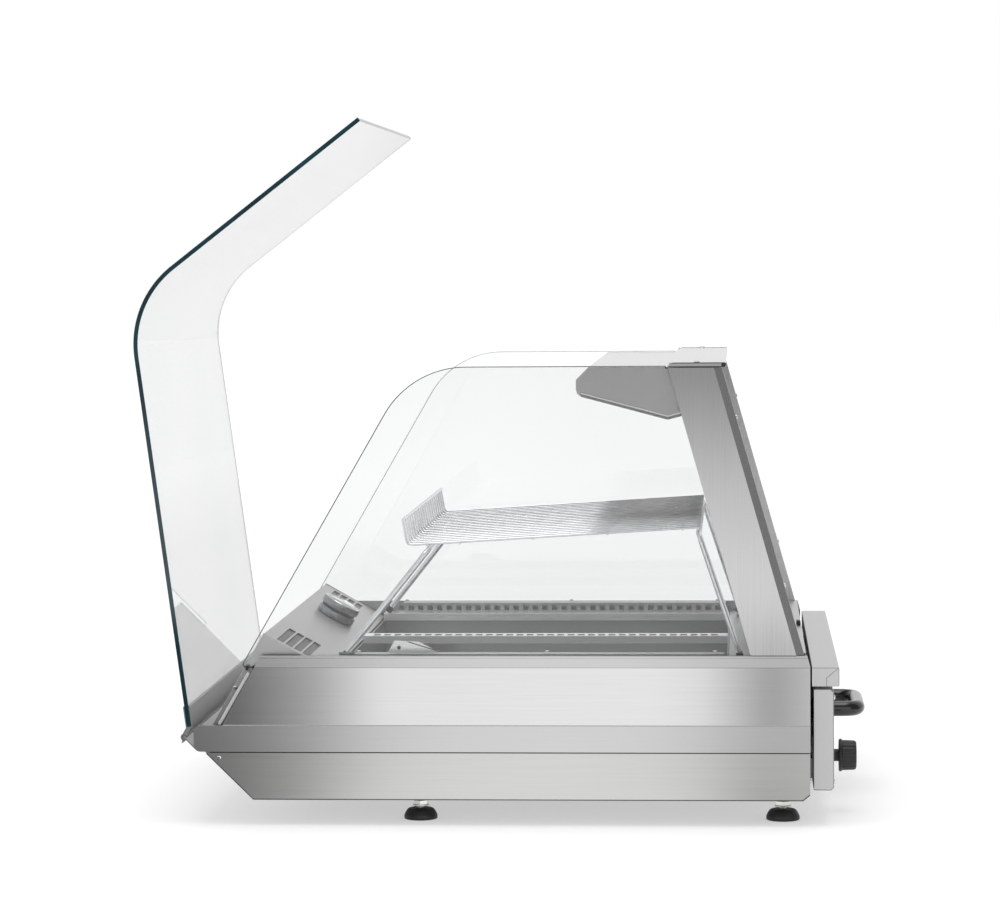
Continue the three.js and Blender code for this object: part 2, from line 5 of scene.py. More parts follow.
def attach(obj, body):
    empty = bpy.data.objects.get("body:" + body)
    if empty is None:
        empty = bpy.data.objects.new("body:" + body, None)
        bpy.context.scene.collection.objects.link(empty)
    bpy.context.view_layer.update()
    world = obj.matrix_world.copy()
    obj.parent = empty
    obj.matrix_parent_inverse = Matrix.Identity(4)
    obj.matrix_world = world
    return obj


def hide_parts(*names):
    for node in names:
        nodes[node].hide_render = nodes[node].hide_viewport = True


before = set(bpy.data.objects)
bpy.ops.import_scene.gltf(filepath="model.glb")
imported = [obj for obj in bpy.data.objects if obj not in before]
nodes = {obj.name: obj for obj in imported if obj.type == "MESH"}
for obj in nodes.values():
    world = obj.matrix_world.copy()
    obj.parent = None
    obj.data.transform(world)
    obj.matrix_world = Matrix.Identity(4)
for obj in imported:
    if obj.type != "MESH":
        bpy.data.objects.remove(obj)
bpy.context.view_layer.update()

# Pieces are given in millimetres and turned to metres in putPiece.

# the camera comes first
view = {
    "place": (5331.7, 321.1, 782.0),
    "turn": -3.7405,          # degrees round the vertical, away from square on
    "dip": 3.0847,            # degrees down
    "roll": -0.3909,
    "lens": 130.65,
    "reach": 100,             # metres that it sees
}


def makeCamera(v):
    turn, dip, roll = (math.radians(v[k]) for k in ("turn", "dip", "roll"))
    level = math.cos(dip)
    ahead = Vector((-level * math.cos(turn), level * math.sin(turn), -math.sin(dip)))
    right = ahead.cross(Vector((0, 0, 1))).normalized()
    up = right.cross(ahead)
    across = right * math.cos(roll) + up * math.sin(roll)
    up = up * math.cos(roll) - right * math.sin(roll)
    data = bpy.data.cameras.new("camera")
    data.lens = v["lens"]
    data.clip_end = v["reach"]
    cam = bpy.data.objects.new("camera", data)
    bpy.context.collection.objects.link(cam)
    facing = Matrix((across, up, -ahead)).transposed().to_4x4()
    cam.matrix_world = Matrix.Translation(Vector(v["place"]) * 0.001) @ facing
    bpy.context.scene.camera = cam


makeCamera(view)
print("camera ready")


# small tools that the pieces share
def hexColour(text):
    out = []
    for i in (1, 3, 5):
        c = int(text[i:i + 2], 16) / 255
        out.append(c / 12.92 if c <= 0.04045 else ((c + 0.055) / 1.055) ** 2.4)
    return (*out, 1.0)


def addNode(mat, kind, settings=None, links=None):
    node = mat.node_tree.nodes.new(kind)
    for key, value in (settings or {}).items():
        if isinstance(key, int) or key in node.inputs:
            node.inputs[key].default_value = value
        else:
            setattr(node, key, value)
    for key, source in (links or {}).items():
        mat.node_tree.links.new(source, node.inputs[key])
    return node


def blankMaterial(name):
    mat = bpy.data.materials.new(name)
    mat.use_nodes = True
    mat.node_tree.nodes.clear()
    return mat


def finishMaterial(mat, shader):
    addNode(mat, "ShaderNodeOutputMaterial", links={"Surface": shader})
    return mat


def ramp(mat, source, stops):
    node = addNode(mat, "ShaderNodeValToRGB", links={"Fac": source})
    parts = node.color_ramp.elements
    while len(parts) < len(stops):
        parts.new(0.5)
    for part, (place, colour) in zip(parts, stops):
        part.position = place
        part.color = hexColour(colour) if isinstance(colour, str) else (colour, colour, colour, 1)
    return node


def putPiece(name, bm, mats, body, replaced=(), smooth=25, recalc=True):
    if recalc:
        bmesh.ops.recalc_face_normals(bm, faces=bm.faces)
    bmesh.ops.scale(bm, vec=(0.001, 0.001, 0.001), verts=bm.verts)
    mesh = bpy.data.meshes.new(name)
    bm.to_mesh(mesh)
    bm.free()
    for mat in mats:
        mesh.materials.append(mat)
    ob = bpy.data.objects.new(name, mesh)
    bpy.context.collection.objects.link(ob)
    if smooth:
        mesh.polygons.foreach_set("use_smooth", [True] * len(mesh.polygons))
        mesh.set_sharp_from_angle(angle=math.radians(smooth))
    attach(ob, body)
    if replaced:
        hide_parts(*replaced)
    return ob


def sweep(bm, points, low, high, axis="x"):
    # a flat outline, drawn out along x or z from low to high
    way = Vector((1, 0, 0)) if axis == "x" else Vector((0, 0, 1))
    face = bm.faces.new([bm.verts.new((0, a, b) if axis == "x" else (a, b, 0)) for a, b in points])
    bmesh.ops.translate(bm, vec=way * low, verts=face.verts)
    made = bmesh.ops.extrude_face_region(bm, geom=[face])["geom"]
    verts = [g for g in made if isinstance(g, bmesh.types.BMVert)]
    bmesh.ops.translate(bm, vec=way * (high - low), verts=verts)


sharpAngle = 40           # degrees from which an edge gets its bevel


def bevelSharp(bm, size, segments=2):
    bmesh.ops.recalc_face_normals(bm, faces=bm.faces)
    sharp = math.radians(sharpAngle)
    edges = [e for e in bm.edges if len(e.link_faces) == 2 and e.calc_face_angle(0) > sharp]
    bmesh.ops.bevel(bm, geom=edges, offset=size, offset_type="OFFSET", affect="EDGES",
                    segments=segments, profile=0.5, material=-1, clamp_overlap=True)


def block(bm, low, high, bevel=0, segments=2):
    part = bmesh.new()
    bmesh.ops.create_cube(part, size=1)
    size = [b - a for a, b in zip(low, high)]
    bmesh.ops.scale(part, vec=size, verts=part.verts)
    bmesh.ops.translate(part, vec=[(a + b) / 2 for a, b in zip(low, high)], verts=part.verts)
    if bevel:
        bevelSharp(part, bevel, segments)
    joinInto(bm, part)


def joinInto(bm, part, place=None, index=None):
    if place is not None:
        bmesh.ops.transform(part, matrix=place, verts=part.verts)
    if index is not None:
        for f in part.faces:
            f.material_index = index
    mesh = bpy.data.meshes.new("join")
    part.to_mesh(mesh)
    part.free()
    bm.from_mesh(mesh)
    bpy.data.meshes.remove(mesh)


def turned(points, steps=48):
    # points are (radius, height); spun round Z, both ends on the axis
    part = bmesh.new()
    verts = [part.verts.new((r, 0, z)) for r, z in points]
    edges = [part.edges.new((a, b)) for a, b in zip(verts, verts[1:])]
    bmesh.ops.spin(part, geom=verts + edges, cent=(0, 0, 0), axis=(0, 0, 1), angle=math.tau,
                   steps=steps, use_merge=True)
    bmesh.ops.remove_doubles(part, verts=part.verts, dist=0.001)
    bmesh.ops.recalc_face_normals(part, faces=part.faces)
    return part


def aimZ(place, direction, roll=0):
    quat = Vector(direction).to_track_quat("Z", "Y")
    return Matrix.Translation(Vector(place)) @ quat.to_matrix().to_4x4() @ Matrix.Rotation(roll, 4, "Z")


def bendCorners(points, radius, steps=6):
    pts = [Vector(p) for p in points]
    out = [pts[0]]
    for a, b, c in zip(pts, pts[1:], pts[2:]):
        start = b + (a - b).normalized() * radius
        end = b + (c - b).normalized() * radius
        for i in range(steps + 1):
            t = i / steps
            out.append(start * (1 - t) ** 2 + b * 2 * t * (1 - t) + end * t ** 2)
    out.append(pts[-1])
    return out


# materials
def brushedSteel(name, low, high, rough, along, bumpy=0.03, streak=0.05, cloudy=0.3):
    # stainless sheet, belt ground: fine streaks along the grain that break up the reflections;
    # real scratches are under 0.1 mm wide, so they are drawn 1.1 mm wide and 200 mm long to show
    mat = blankMaterial(name)
    where = addNode(mat, "ShaderNodeTexCoord")
    stretch = {"x": (5, 900, 900), "y": (900, 5, 900), "z": (900, 900, 5)}[along]
    lay = addNode(mat, "ShaderNodeMapping", {"Scale": stretch}, {"Vector": where.outputs["Object"]})
    grain = addNode(mat, "ShaderNodeTexNoise", {"Scale": 1.0, "Detail": 4.0, "Roughness": 0.65},
                    {"Vector": lay.outputs["Vector"]})
    cloud = addNode(mat, "ShaderNodeTexNoise", {"Scale": 4.0, "Detail": 3.0},
                    {"Vector": where.outputs["Object"]})
    both = addNode(mat, "ShaderNodeMix", {"data_type": "FLOAT", 0: cloudy},
                   {2: grain.outputs["Fac"], 3: cloud.outputs["Fac"]})
    tone = ramp(mat, both.outputs[0], [(0.3, low), (0.7, high)])
    shine = addNode(mat, "ShaderNodeMapRange",
                    {"From Min": 0.3, "From Max": 0.7, "To Min": rough - streak, "To Max": rough + streak},
                    {"Value": both.outputs[0]})
    bump = addNode(mat, "ShaderNodeBump", {"Strength": bumpy, "Distance": 0.0003},
                   {"Height": grain.outputs["Fac"]})
    shader = addNode(mat, "ShaderNodeBsdfPrincipled", {"Metallic": 1.0},
                     {"Base Color": tone.outputs["Color"], "Roughness": shine.outputs["Result"],
                      "Normal": bump.outputs["Normal"]})
    return finishMaterial(mat, shader.outputs["BSDF"])


def sidePanelSteel(name, low, high, shinyRough, dullRough, band):
    # side panel: a smooth-ground field between two duller folded bands, told apart by height; the bands get
    # painted shade, and so do faces turned up
    mat = brushedSteel(name, low, high, dullRough, "y", bumpy=0.012, streak=0.02)
    tree = mat.node_tree
    shader = next(n for n in tree.nodes if n.type == "BSDF_PRINCIPLED")
    old = shader.inputs["Roughness"].links[0].from_socket
    where = next(n for n in tree.nodes if n.type == "TEX_COORD")
    split = addNode(mat, "ShaderNodeSeparateXYZ", links={"Vector": where.outputs["Object"]})
    above = addNode(mat, "ShaderNodeMath", {"operation": "GREATER_THAN", 1: band[0]},
                    {0: split.outputs["Z"]})
    below = addNode(mat, "ShaderNodeMath", {"operation": "LESS_THAN", 1: band[1]},
                    {0: split.outputs["Z"]})
    field = addNode(mat, "ShaderNodeMath", {"operation": "MULTIPLY"},
                    {0: above.outputs[0], 1: below.outputs[0]})
    drop = addNode(mat, "ShaderNodeMath", {"operation": "MULTIPLY", 1: dullRough - shinyRough},
                   {0: field.outputs[0]})
    left = addNode(mat, "ShaderNodeMath", {"operation": "SUBTRACT"}, {0: old, 1: drop.outputs[0]})
    tree.links.new(left.outputs[0], shader.inputs["Roughness"])
    facing = addNode(mat, "ShaderNodeSeparateXYZ", links={"Vector": where.outputs["Normal"]})
    level = addNode(mat, "ShaderNodeMapRange",
                    {"From Min": 0.3, "From Max": 0.7, "To Min": 1.0, "To Max": 0.5},
                    {"Value": facing.outputs["Z"]})       # painted shade: faces turned up, such as the small step under the field, are darkened to half
    # painted shade: the folded bands outside the field are darkened to 84%
    bands = addNode(mat, "ShaderNodeMapRange", {"To Min": 0.84, "To Max": 1.0},
                    {"Value": field.outputs[0]})
    both = addNode(mat, "ShaderNodeMath", {"operation": "MULTIPLY"},
                   {0: level.outputs["Result"], 1: bands.outputs["Result"]})
    tone = shader.inputs["Base Color"].links[0].from_socket
    shaded = addNode(mat, "ShaderNodeMix", {"data_type": "RGBA", "blend_type": "MULTIPLY", 0: 1.0},
                     {6: tone, 7: both.outputs[0]})
    tree.links.new(shaded.outputs[2], shader.inputs["Base Color"])
    return mat


def mottled(name, low, high, rough, metallic=0.0, scale=90, bump=0.02, coat=0.0, spread=0.06):
    # a plain finish with the fine unevenness that moulding, plating or rolling leaves;
    # scale counts its cells to the metre, 1.1 mm for a moulding's grain, drawn coarser than it is
    mat = blankMaterial(name)
    where = addNode(mat, "ShaderNodeTexCoord")
    noise = addNode(mat, "ShaderNodeTexNoise", {"Scale": scale, "Detail": 4.0, "Roughness": 0.6},
                    {"Vector": where.outputs["Object"]})
    tone = ramp(mat, noise.outputs["Fac"], [(0.32, low), (0.68, high)])
    shine = addNode(mat, "ShaderNodeMapRange",
                    {"From Min": 0.3, "From Max": 0.7,
                     "To Min": max(rough - spread, 0.02), "To Max": rough + spread},
                    {"Value": noise.outputs["Fac"]})
    relief = addNode(mat, "ShaderNodeBump", {"Strength": bump, "Distance": 0.0004},
                     {"Height": noise.outputs["Fac"]})
    shader = addNode(mat, "ShaderNodeBsdfPrincipled", {"Metallic": metallic, "Coat Weight": coat},
                     {"Base Color": tone.outputs["Color"], "Roughness": shine.outputs["Result"],
                      "Normal": relief.outputs["Normal"]})
    return finishMaterial(mat, shader.outputs["BSDF"])


def clearGlass(name, tint, shade, rough=0.0, graze=0.45):
    # toughened float glass: clear, a trace of iron green, faint roller wave 400 mm long
    mat = blankMaterial(name)
    where = addNode(mat, "ShaderNodeTexCoord")
    wave = addNode(mat, "ShaderNodeTexNoise", {"Scale": 2.5, "Detail": 1.0},
                   {"Vector": where.outputs["Object"]})
    relief = addNode(mat, "ShaderNodeBump", {"Strength": 0.02, "Distance": 0.0004},
                     {"Height": wave.outputs["Fac"]})
    tone = ramp(mat, wave.outputs["Fac"], [(0.3, tint), (0.7, shade)])
    facing = addNode(mat, "ShaderNodeLayerWeight", {"Blend": 0.5})
    depth = addNode(mat, "ShaderNodeMapRange",
                    {"From Min": 0.5, "From Max": 0.95, "To Min": 1.0, "To Max": graze},
                    {"Value": facing.outputs["Facing"]})        # a slanting look goes through more glass
    deeper = addNode(mat, "ShaderNodeMix", {"data_type": "RGBA", "blend_type": "MULTIPLY", 0: 1.0},
                     {6: tone.outputs["Color"], 7: depth.outputs["Result"]})
    glass = addNode(mat, "ShaderNodeBsdfPrincipled",
                    {"Roughness": rough, "IOR": 1.5, "Transmission Weight": 1.0},
                    {"Base Color": deeper.outputs[2], "Normal": relief.outputs["Normal"]})
    through = addNode(mat, "ShaderNodeBsdfTransparent", links={"Color": tone.outputs["Color"]})
    path = addNode(mat, "ShaderNodeLightPath")
    mix = addNode(mat, "ShaderNodeMixShader", links={0: path.outputs["Is Shadow Ray"],
                  1: glass.outputs["BSDF"], 2: through.outputs["BSDF"]})
    return finishMaterial(mat, mix.outputs["Shader"])


# steels: the same sheet is given lighter or darker base colours, partly for its polish and partly as painted
# light and shade for its fold and what it faces
sheetPanel = sidePanelSteel("ground stainless side panel", "#bbbbbb", "#c2c2c2", 0.17, 0.37,
                            (0.1388, 0.2180))       # heights in metres where its smooth field starts and ends
sheetTray = brushedSteel("ground stainless tray", "#acacab", "#b6b6b5", 0.36, "y")
sheetWide = brushedSteel("ground stainless wide sheet", "#b4b4b4", "#c6c6c6", 0.32, "x")
sheetPost = brushedSteel("ground stainless post", "#b0b0b0", "#c0c0c0", 0.30, "z")
sheetHood = brushedSteel("fine ground stainless hood", "#aeaead", "#bcbcbb", 0.42, "x")
sheetCanopy = brushedSteel("ground stainless canopy", "#a0a09f", "#afafae", 0.30, "x")
sheetCheek = brushedSteel("ground stainless cheek", "#b2b2b1", "#c0c0bf", 0.34, "y")
sheetRail = brushedSteel("bright ground rail", "#dadada", "#e8e8e8", 0.30, "y")
# painted shade: dark lines drawn along the tray's lower edges and the control box's edges
edgeShadeSteel = brushedSteel("painted edge shade", "#3c3d3d", "#555656", 0.45, "y")
# painted shade: dark sheets set under the hood's slots, where there is only shade
slotShade = brushedSteel("painted slot shade", "#505050", "#5e5e5e", 0.4, "x")
# painted shade: the thermometer case is darker than the other steel, for the dark sides it shows
sheetCase = brushedSteel("turned steel case", "#8a8b8c", "#9c9d9e", 0.26, "z", bumpy=0.01)
# painted shade: the dark strip along the canopy's lower hem
hemShadeSteel = brushedSteel("painted shade on stainless", "#747474", "#828282", 0.4, "x")
sheetInner = brushedSteel("matt inner stainless", "#9d9e9e", "#b0b1b1", 0.38, "y")
# bright steel for the reflector, rails and deflector, also used as painted highlight on the canopy hem and
# the thermometer rim
brightSteelAndHighlight = brushedSteel("bright rolled stainless", "#cfcfcf", "#dfdfdf", 0.16, "x", bumpy=0.01)
# extruded, plated and moulded parts: soft sheen, sharp glints, dead black
anodised = brushedSteel("satin anodised aluminium", "#c4c5c5", "#d3d4d4", 0.33, "x", bumpy=0.01)
chrome = mottled("bright nickel chrome", "#b9bbbd", "#d6d8da", 0.12, 1.0, scale=40, bump=0.005, spread=0.03)
wireChrome = mottled("chromed wire", "#d6d7d8", "#ecedee", 0.24, 1.0, scale=50, bump=0.01, spread=0.04)
zinc = mottled("bright zinc plate", "#c9c9c2", "#e4e4e2", 0.2, 1.0, scale=70, bump=0.02)
blackGloss = mottled("black gloss moulding", "#050505", "#0b0b0b", 0.16, scale=60, bump=0.01, coat=0.4,
                     spread=0.04)
blackMatt = mottled("black matt moulding", "#0e0e0f", "#161617", 0.42, scale=900, bump=0.08)
rubber = mottled("black rubber", "#090909", "#131313", 0.5, scale=700, bump=0.10)
silicone = mottled("grey silicone seal", "#b3b5b5", "#c6c8c8", 0.45, scale=300, bump=0.04)
# painted shade: a dark colour laid in gaps, creases and recesses
gapShade = mottled("painted gap shade", "#1b1c1c", "#262727", 0.6, scale=300, bump=0.05)
# glass is clear through its face and dark or teal through its ground edge
paneFace = clearGlass("toughened front glass", "#eef0f0", "#f3f4f4", graze=0.88)
paneSide = clearGlass("toughened side glass", "#f1f2f2", "#f4f5f5", graze=0.9)
paneFar = clearGlass("toughened clear side glass", "#fbfcfc", "#fdfdfd", graze=0.9)
edgePale = mottled("pale glass edge", "#a9b2b2", "#bcc4c4", 0.15, scale=20, bump=0.01, coat=0.4, spread=0.04)
edgeDeep = mottled("deep teal glass edge", "#00202a", "#033a46", 0.14, scale=14, bump=0.01, coat=0.2,
                   spread=0.04)
edgeThin = mottled("grey glass edge", "#3d4444", "#566060", 0.15, scale=20, bump=0.01, coat=0.4, spread=0.04)
# small parts of the heating and its controls
amber = mottled("amber lens", "#b5651a", "#d98a2b", 0.18, scale=60, coat=0.5)
red = mottled("red rocker moulding", "#8f1d15", "#a8261c", 0.3, scale=200, bump=0.03, coat=0.2)
heaterTube = mottled("oxidised heater tube", "#3d3a38", "#5a5450", 0.5, 1.0, scale=50, bump=0.06)
quartz = clearGlass("quartz tube", "#f6efe2", "#fbf6ee", 0.05)
ceramic = mottled("white ceramic", "#d9d6cf", "#ebe8e2", 0.4, scale=200, bump=0.04)
dialWhite = mottled("enamelled dial", "#e4e4e0", "#efefec", 0.3, scale=150, bump=0.01)
print("materials ready")


# CAD nodes that keep their shape: finish, and bevel width in millimetres
cadFinish = {
    "base_tray": (sheetTray, 0.5),
    "side_panel_right": (sheetPanel, 0.1), "side_panel_left": (sheetPanel, 0.1),
    "panel_edge_trim_right": (silicone, 1.2), "panel_edge_trim_left": (silicone, 1.2),
    "hinge_fixed_profile": (anodised, 0.2), "glass_holder": (anodised, 0.25),
    "rear_post_right": (sheetPost, 0.4), "rear_post_left": (sheetPost, 0.4),
    "top_cross_rail": (brightSteelAndHighlight, 0.4), "rear_sill": (sheetWide, 0.4),
    "door_track_bottom": (anodised, 0.3), "door_track_top": (anodised, 0.3),
    "rear_door_right_pull": (anodised, 1.2), "rear_door_left_pull": (anodised, 1.2),
    "lamp_canopy": (sheetCanopy, 0.4), "lamp_reflector": (brightSteelAndHighlight, 0.3),
    "front_vent_hood": (sheetHood, 0.4),
    "side_cheek_right": (sheetCheek, 0.3), "side_cheek_left": (sheetCheek, 0.3),
    "well_liner": (sheetInner, 0.3), "centre_rail": (sheetRail, 0.3),
    "side_rail_right": (sheetRail, 0.3), "side_rail_left": (sheetRail, 0.3),
    "air_deflector": (brightSteelAndHighlight, 0.4), "rear_ledge": (sheetWide, 0.8),
    "control_box": (sheetWide, 0.8), "heater_drawer_tray": (sheetInner, 0.4),
    "fan_motor": (blackMatt, 0.8), "fan_impeller": (zinc, 0.2), "switch_frame": (blackMatt, 0.4),
    "power_switch": (red, 0.6),
    "heating_element_right": (heaterTube, 0), "heating_element_left": (heaterTube, 0),
}
for name, (mat, bevel) in cadFinish.items():
    ob = nodes[name]
    ob.data.materials.clear()
    ob.data.materials.append(mat)
    if bevel:
        weld = ob.modifiers.new("weld", "WELD")
        weld.merge_threshold = 0.00002
        rim = ob.modifiers.new("rim", "BEVEL")
        rim.width = bevel * 0.001
        rim.segments = 2
        rim.limit_method = "ANGLE"
        rim.angle_limit = math.radians(sharpAngle)
print("frame finished")


# panes of glass
glass = {
    "bendSteps": 40,
    "front": {"half": 391.0, "thick": 6.0, "radius": 137.0, "arris": 0.8,
              "low": 97.53, "high": 37.8,                   # slopes of the lower and upper part, in degrees
              "ridge": (-514.8, 722.1), "top": (-193.6, 971.3),     # where the outer faces meet and end
              "foot": (-440.4, 158.8), "footHeight": 135.6},
    "side": {"inner": 384, "outer": 390, "chamfer": 1.2, "slope": 59.95, "slant": (-339.5, 257.6),
             "top": 630.6, "radius": 130.0, "bottom": 217, "nose": -357, "tail": 358.3,
             "notch": (225, 627.8), "fromFrame": 14},
    "door": {"thick": 5, "bottom": 4, "top": 384, "chamfer": 0.6},
}
rearPlane = {"lean": math.radians(15.76), "y": 338.1, "z": 235.3}     # the leaning frame that holds the doors


def outlineArc(centre, radius, start, end, steps):
    turns = [math.radians(start + (end - start) * i / steps) for i in range(steps + 1)]
    return [(centre[0] + radius * math.cos(a), centre[1] + radius * math.sin(a)) for a in turns]


def markEdges(bm, across, limit=0.98):
    # faces that turn away from across are the pane's ground edge
    bm.normal_update()
    for f in bm.faces:
        if abs(f.normal.dot(across)) < limit:
            f.material_index = 1


def frontPane(g, steps):
    low, high, radius, thick = g["low"], g["high"], g["radius"], g["thick"]
    along = Vector((math.cos(math.radians(low)), math.sin(math.radians(low))))
    inward = Vector((along.y, -along.x))
    ridge, top = Vector(g["ridge"]), Vector(g["top"])
    run = radius * math.tan(math.radians((low - high) / 2))
    centre = ridge - along * run + inward * radius
    footY, footZ = g["foot"]
    foot = Vector((footY + (g["footHeight"] - footZ) * along.x / along.y, g["footHeight"]))
    up = Vector((math.cos(math.radians(high)), math.sin(math.radians(high))))
    inner = Vector((up.y, -up.x))
    points = [foot, *outlineArc(centre, radius, low + 90, high + 90, steps), top, top + inner * thick,
              *outlineArc(centre, radius - thick, high + 90, low + 90, steps), foot + inward * thick]
    bm = bmesh.new()
    sweep(bm, points, -g["half"], g["half"])
    bevelSharp(bm, g["arris"])
    bm.normal_update()
    for f in bm.faces:
        tip = (f.calc_center_median().yz - top).dot(up)
        if abs(f.normal.x) > 0.3:
            f.material_index = 1
        elif tip > -1.0 or f.normal.z < -0.9:
            f.material_index = 2
    putPiece("frontPane", bm, [paneFace, edgeDeep, edgeThin], "front_glass_leaf",
             ["front_glass"], smooth=8)


def sidePane(g, side, steps):
    slope = math.radians(g["slope"])
    edge = lambda z: (g["slant"][0] + (z - g["slant"][1]) / math.tan(slope), z)
    top, radius, notch = g["top"], g["radius"], g["notch"]
    centre = (edge(top)[0] + radius * math.tan(slope / 2), top - radius)
    points = [(g["nose"], g["bottom"]), (g["tail"], g["bottom"]), rearLine(g["fromFrame"], notch[1]), notch,
              (notch[0], top), *outlineArc(centre, radius, 90, 90 + g["slope"], steps), edge(g["bottom"] + 5)]
    bm = bmesh.new()
    low, high = sorted((side * g["inner"], side * g["outer"]))
    sweep(bm, points, low, high)
    bevelSharp(bm, g["chamfer"])
    markEdges(bm, Vector((1, 0, 0)))
    name = "right" if side > 0 else "left"
    looks = [paneSide, edgeThin] if side > 0 else [paneFar, edgePale]
    putPiece("sidePane" + name.title(), bm, looks, "casing", ["side_glass_" + name], smooth=8)


def rearFrame(d, s):
    # d straight out of the leaning rear frame, s up along it
    r = rearPlane
    return (r["y"] + d * math.cos(r["lean"]) - s * math.sin(r["lean"]),
            r["z"] + d * math.sin(r["lean"]) + s * math.cos(r["lean"]))


def rearLine(d, z):
    r = rearPlane
    return rearFrame(d, (z - r["z"] - d * math.sin(r["lean"])) / math.cos(r["lean"]))


def doorPane(g, name, d, low, high):
    bm = bmesh.new()
    out, bottom, top = d + g["thick"], g["bottom"], g["top"]
    corners = ((d, bottom), (out, bottom), (out, top), (d, top))
    sweep(bm, [rearFrame(*corner) for corner in corners], low, high)
    bevelSharp(bm, g["chamfer"])
    markEdges(bm, Vector((0, math.cos(rearPlane["lean"]), math.sin(rearPlane["lean"]))))
    putPiece(name, bm, [paneFar, edgeThin], name, [name + "_glass"], smooth=8)


frontPane(glass["front"], glass["bendSteps"])
for side in (1, -1):
    sidePane(glass["side"], side, glass["bendSteps"])
doorPane(glass["door"], "rear_door_right", 29.0, -8, 366)
doorPane(glass["door"], "rear_door_left", 43.5, -366, 8)
print("glass fitted")


# wire shelf and its legs
shelf = {
    "wires": 20, "half": 325.0, "thick": 1.7, "barThick": 1.6,
    "front": (-132.0, 381.7), "rear": (270.0, 405.6),       # y and z of the wires' two ends
    "bars": (-108, -63, 39, 142, 246, 267),
    "legs": {"x": 326, "thick": 4.0, "bend": 16,
             # foot y, foot z and head y of each
             "rows": (("front", -226.5, 225.2, -107.0), ("rear", 325.6, 224.2, 268.0))},
}


def pipe(bm, points, radius, rounds=4, index=0):
    data = bpy.data.curves.new("pipe", "CURVE")
    data.dimensions = "3D"
    data.bevel_depth = radius
    data.bevel_resolution = rounds
    data.use_fill_caps = True
    line = data.splines.new("POLY")
    line.points.add(len(points) - 1)
    for spot, p in zip(line.points, points):
        spot.co = (*p, 1)
    ob = bpy.data.objects.new("pipe", data)
    mesh = bpy.data.meshes.new_from_object(ob)
    part = bmesh.new()
    part.from_mesh(mesh)
    bmesh.ops.remove_doubles(part, verts=part.verts, dist=0.0005)
    joinInto(bm, part, index=index)
    bpy.data.objects.remove(ob)
    bpy.data.meshes.remove(mesh)


def shelfHeight(s, y):
    (fy, fz), (ry, rz) = s["front"], s["rear"]
    return fz + (rz - fz) * (y - fy) / (ry - fy)


def makeShelf(s):
    bm = bmesh.new()
    (fy, fz), (ry, rz) = s["front"], s["rear"]
    for i in range(s["wires"]):
        x = -s["half"] + 2 * s["half"] * i / (s["wires"] - 1)
        line = [(x, fy - 10.5, fz + 37), (x, fy - 4, fz - 0.3), (x, ry, rz)]
        pipe(bm, bendCorners(line, 8, 6), s["thick"], 3)
    half = s["half"] + 2
    for y, z in [(y, shelfHeight(s, y) - 2.2) for y in s["bars"]] + [(fy - 8.6, fz + 35.5)]:
        pipe(bm, [(-half, y, z), (half, y, z)], s["barThick"], 3)
    putPiece("shelfWires", bm, [wireChrome], "casing", ["wire_shelf"], recalc=False)
    legs = s["legs"]
    reach = legs["x"]
    for name, foot, base, head in legs["rows"]:
        bm = bmesh.new()
        z = shelfHeight(s, head) - 8.3
        line = [(reach, foot, base), (reach, head, z), (-reach, head, z), (-reach, foot, base)]
        pipe(bm, bendCorners(line, legs["bend"], 10), legs["thick"], 6)
        for x in (-reach, reach):
            way = Vector((0, head - foot, z - base)).normalized()
            cap = turned([(0, 0), (4.7, 0), (5.0, 0.5), (5.0, 8.5), (4.4, 9.5), (0, 9.5)], 20)
            joinInto(bm, cap, aimZ((x, foot - way.y * 0.6, base - way.z * 0.6), way), 1)
        putPiece("shelfLeg" + name.title(), bm, [wireChrome, blackMatt], "casing",
                 ["shelf_leg_" + name], recalc=False)


makeShelf(shelf)
print("shelf ready")


# tube lamps in the canopy
lamp = {"tube": 5.0, "tubeHalf": 318.3, "capFrom": 345, "coil": 2.2, "coilHalf": 300, "coilTurns": 60}


def makeLamp(l, name, node, y, z):
    bm = bmesh.new()
    for side in (1, -1):
        cap = turned([(0, 0), (6.9, 0), (7.5, 0.6), (7.5, 20), (7.5, 26.4), (6.9, 27), (0, 27)], 24)
        joinInto(bm, cap, aimZ((side * l["capFrom"], y, z), (-side, 0, 0)), 1)
    end, coil, half = l["tubeHalf"], l["coil"], l["coilHalf"]
    skin = turned([(0, -end), (l["tube"], -end), (l["tube"], end), (0, end)], 24)
    joinInto(bm, skin, aimZ((0, y, z), (1, 0, 0)), 0)
    line = []
    steps = l["coilTurns"] * 8
    for i in range(steps + 1):
        a = math.tau * i / 8
        line.append((-half + 2 * half * i / steps, y + coil * math.cos(a), z + coil * math.sin(a)))
    pipe(bm, line, 0.45, 1, 2)
    putPiece(name, bm, [quartz, ceramic, heaterTube], "casing", [node], recalc=False)


makeLamp(lamp, "lampFront", "heat_lamp_1", 158, 600)
makeLamp(lamp, "lampRear", "heat_lamp_2", 196, 592)
print("lamps ready")


# thermometer; tilt in degrees, and rest is where the CAD's needle points
dial = {"place": (-98.0, -285.7, 238.65), "tilt": 28.7, "radius": 29.2,
        "numbers": (0, 20, 40, 60, 80, 100, 120), "sweep": 270.0, "rest": 135.0}


def numeral(bm, text, size, place, index):
    data = bpy.data.curves.new("numeral", "FONT")
    data.body = text
    data.size = size
    data.align_x = "CENTER"
    data.align_y = "CENTER"
    data.extrude = 0.06
    ob = bpy.data.objects.new("numeral", data)
    mesh = bpy.data.meshes.new_from_object(ob)
    part = bmesh.new()
    part.from_mesh(mesh)
    joinInto(bm, part, place, index)
    bpy.data.objects.remove(ob)
    bpy.data.meshes.remove(mesh)


